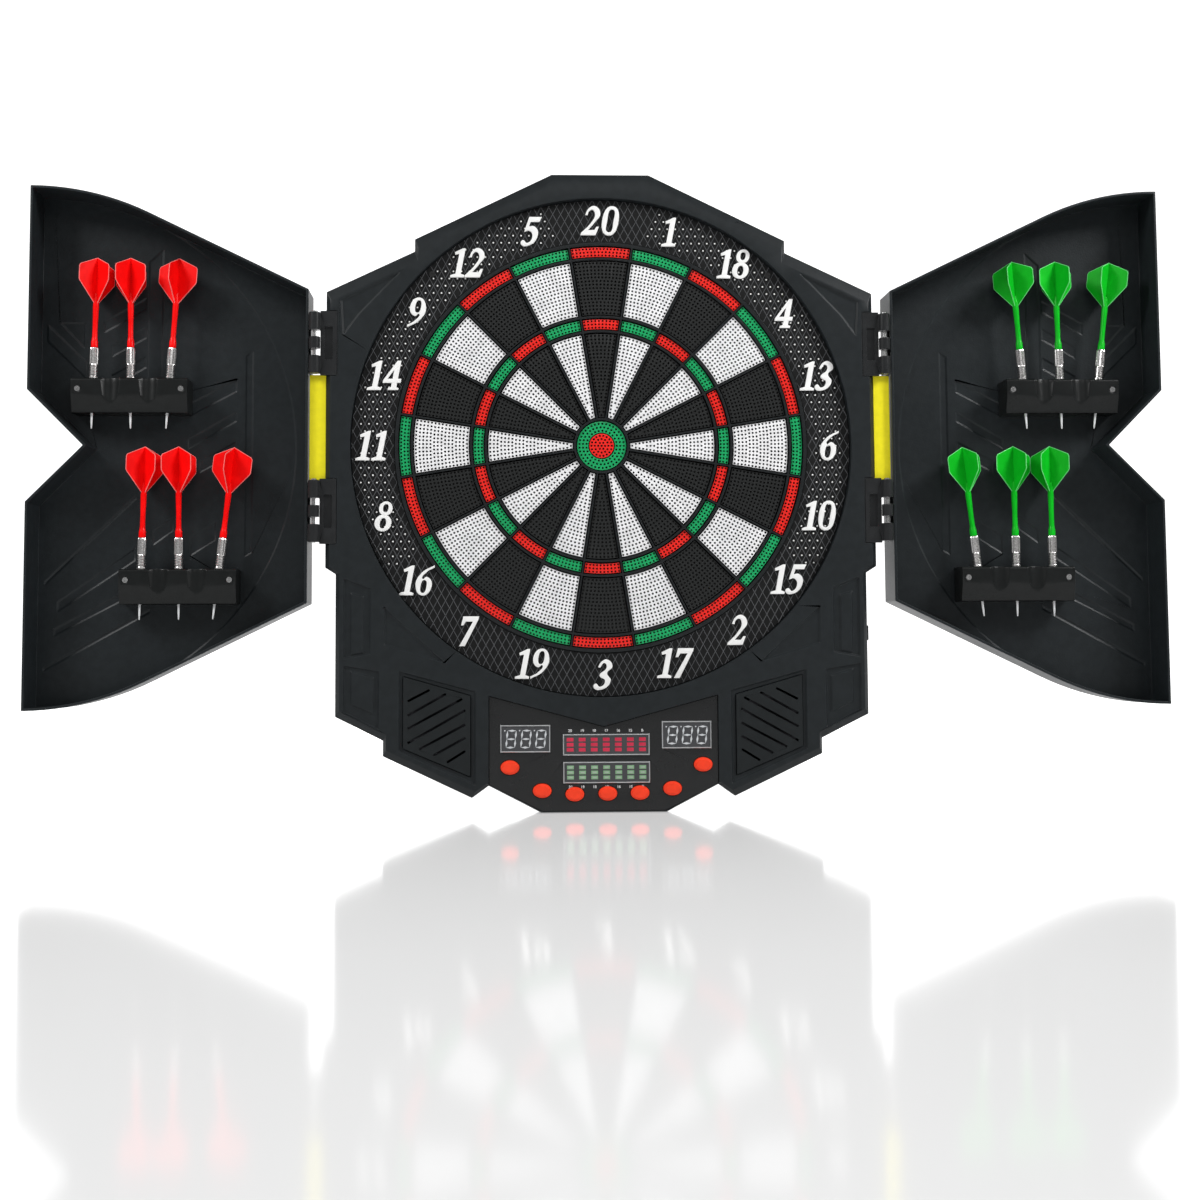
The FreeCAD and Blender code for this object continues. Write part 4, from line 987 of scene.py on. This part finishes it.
red_centre = middle_of(*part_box("cricket_display_red"))
green_centre = middle_of(*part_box("cricket_display_green"))
lamp_block("cricket_red", red_centre, LAMP_RED, LAMP_RED, "display_red")
lamp_block("cricket_green", green_centre, LAMP_GREEN, LAMP_CORE, "display_green")


def printed(text, place, height):
    """Small flat lettering on the panel, facing -Y."""
    bpy.ops.object.select_all(action="DESELECT")
    bpy.ops.object.text_add()
    label = bpy.context.object
    label.data.body = text
    label.data.size = height * 1.38
    label.data.align_x = "CENTER"
    label.data.extrude = PRINT_T / 2
    label.data.offset = 0.05 * MM
    bpy.ops.object.convert(target="MESH")
    label = bpy.context.object
    label.rotation_euler = (math.pi / 2, 0, 0)
    label.location = place
    return settle(label)


labels = []
for column, text in enumerate(("20", "19", "18", "17", "16", "15", "B")):
    across = (column - 3) * LAMP_COLUMN
    above = red_centre + Vector((across, 0, 10.6 * MM))
    below = green_centre + Vector((across, 0, -13.0 * MM))
    for spot in (above, below):
        labels.append(printed(text, (spot.x, FASCIA_FRONT, spot.z), 2.3 * MM))
pick_only(*labels)
bpy.ops.object.join()
labels[0].name = "panel_numbers"
place_piece(labels[0], "cabinet", PRINT_WHITE, "frame_silver")
print("printed numbers:", len(labels))

# %% [markdown]
# A dart is four parts: a soft tip, a turned steel barrel with flutes and grooves, a slender shaft
# and a flight of four wings. The parts are modelled once, standing on the tip at the origin, and
# copied to each dart's place. That place comes from the frame: the lowest point is the tip, the
# joint gives the dart's axis, and the point furthest from the axis shows how the flight is turned.

# %% Parts of a dart
def scaled(profile):
    """Radius and height pairs from millimetres to metres."""
    return [(radius * MM, height * MM) for radius, height in profile]


def dart_tip():
    """Soft point with a collar that meets the barrel."""
    profile = [(0.3, 0.0), (0.55, 0.5), (0.8, 5), (1.15, 14), (1.3, 15.5), (1.3, 20),
               (2.2, 20.6), (2.6, 21.2), (2.6, 26.8)]
    return turned("tip", scaled(profile), 20)


def dart_barrel():
    """Fluted at both ends, with ring grooves in the middle."""
    profile = [(3.2, 27.0), (3.5, 27.4), (3.72, 28.6), (3.72, 44.0)]
    for groove in range(5):
        foot = 44.6 + groove * 2.2
        profile += [(3.3, foot), (3.3, foot + 0.7), (3.72, foot + 1.1), (3.72, foot + 1.6)]
    profile += [(3.72, 68.0), (3.4, 69.0), (3.0, 69.4)]
    barrel = turned("barrel", scaled(profile), 32)
    edit(barrel)
    shell = bmesh.from_edit_mesh(barrel.data)
    for vertex in shell.verts:
        index = round(math.atan2(vertex.co.y, vertex.co.x) / (math.pi / 16))
        fluted = 28.6 * MM <= vertex.co.z < 44.1 * MM or vertex.co.z > 54.5 * MM
        if index % 2 and fluted:
            vertex.co.x *= 0.93
            vertex.co.y *= 0.93
    bmesh.update_edit_mesh(barrel.data)
    leave_edit()
    return smooth(barrel, 12)


def dart_shaft():
    """Slender stem that swells again under the flight."""
    profile = [(2.9, 69.5), (2.9, 74.8), (2.6, 75.6), (2.15, 78.5), (2.1, 90), (2.5, 105),
               (2.3, 110), (1.5, 116)]
    return turned("shaft", scaled(profile), 20)


def dart_flight(film, highlight_film):
    """Two crossed kites of thin film, each with a paler edge that is a painted highlight."""
    half = [(0.0, 147.0), (16.5, 139.4), (17.6, 137.4), (17.6, 126.2), (16.9, 124.6), (1.2, 106.2)]
    corners = half + [(-x, z) for x, z in reversed(half[1:])]
    kite = primitive("circle", "flight", vertices=len(corners), radius=0.02, fill_type="NGON")
    for vertex, (x, z) in zip(kite.data.vertices, corners):
        vertex.co = (x * MM, 0, z * MM)
    edit(kite)
    bpy.ops.mesh.inset(thickness=0.5 * MM, use_boundary=True)
    leave_edit()
    kite.data.materials.append(film)
    # The inset rim faces take the paler film, a painted highlight along the edge.
    kite.data.materials.append(highlight_film)
    for face in kite.data.polygons:
        face.material_index = 1 if len(face.vertices) == 4 else 0
    modify(kite, "SOLIDIFY", thickness=0.6 * MM, offset=0.0)
    modify(kite, "BEVEL", width=0.15 * MM, segments=2, limit_method="ANGLE", angle_limit=math.radians(60))
    return gathered("flight", kite, [Matrix.Identity(4), Matrix.Rotation(math.pi / 2, 4, "Z")])


# %% Place the twelve darts
def dart_place(node):
    """Matrix that stands a dart in its holder, as its node in the frame stands."""
    joint = next(j for j in frame["joints"] if j["child"] == node)
    up = Vector(joint["axis"]).normalized()
    points = [vertex.co.copy() for vertex in frame["nodes"][node].data.vertices]
    tip = min(points, key=lambda point: point.z)
    reach = [(point - tip) - up * (point - tip).dot(up) for point in points]
    out = max(reach, key=lambda spread: spread.length).normalized()
    side = up.cross(out)
    turn = Matrix((out, side, up)).transposed().to_4x4()
    return Matrix.Translation(tip) @ turn


FILMS = {
    "left": (DART_RED, HIGHLIGHT_EDGE_RED, "dart_red"),
    "right": (DART_GREEN, HIGHLIGHT_EDGE_GREEN, "dart_green"),
}
for side, (film, highlight_film, film_slot) in FILMS.items():
    for make, paints, material, slot in (
        (dart_tip, (), TIP_GREY, "segment_white"),
        (dart_barrel, (), BARREL_STEEL, "bright_steel"),
        (dart_shaft, (), film, film_slot),
        (dart_flight, (film, highlight_film), None, film_slot),
    ):
        pattern = make(*paints)
        for number in range(1, 7):
            node = f"dart_{side}_{number}"
            part = copied(pattern)
            part.name = f"{node}_{make.__name__.split('_')[1]}"
            part.data.transform(dart_place(node))
            place_piece(part, node, material, slot, [node])
        bpy.data.objects.remove(pattern)
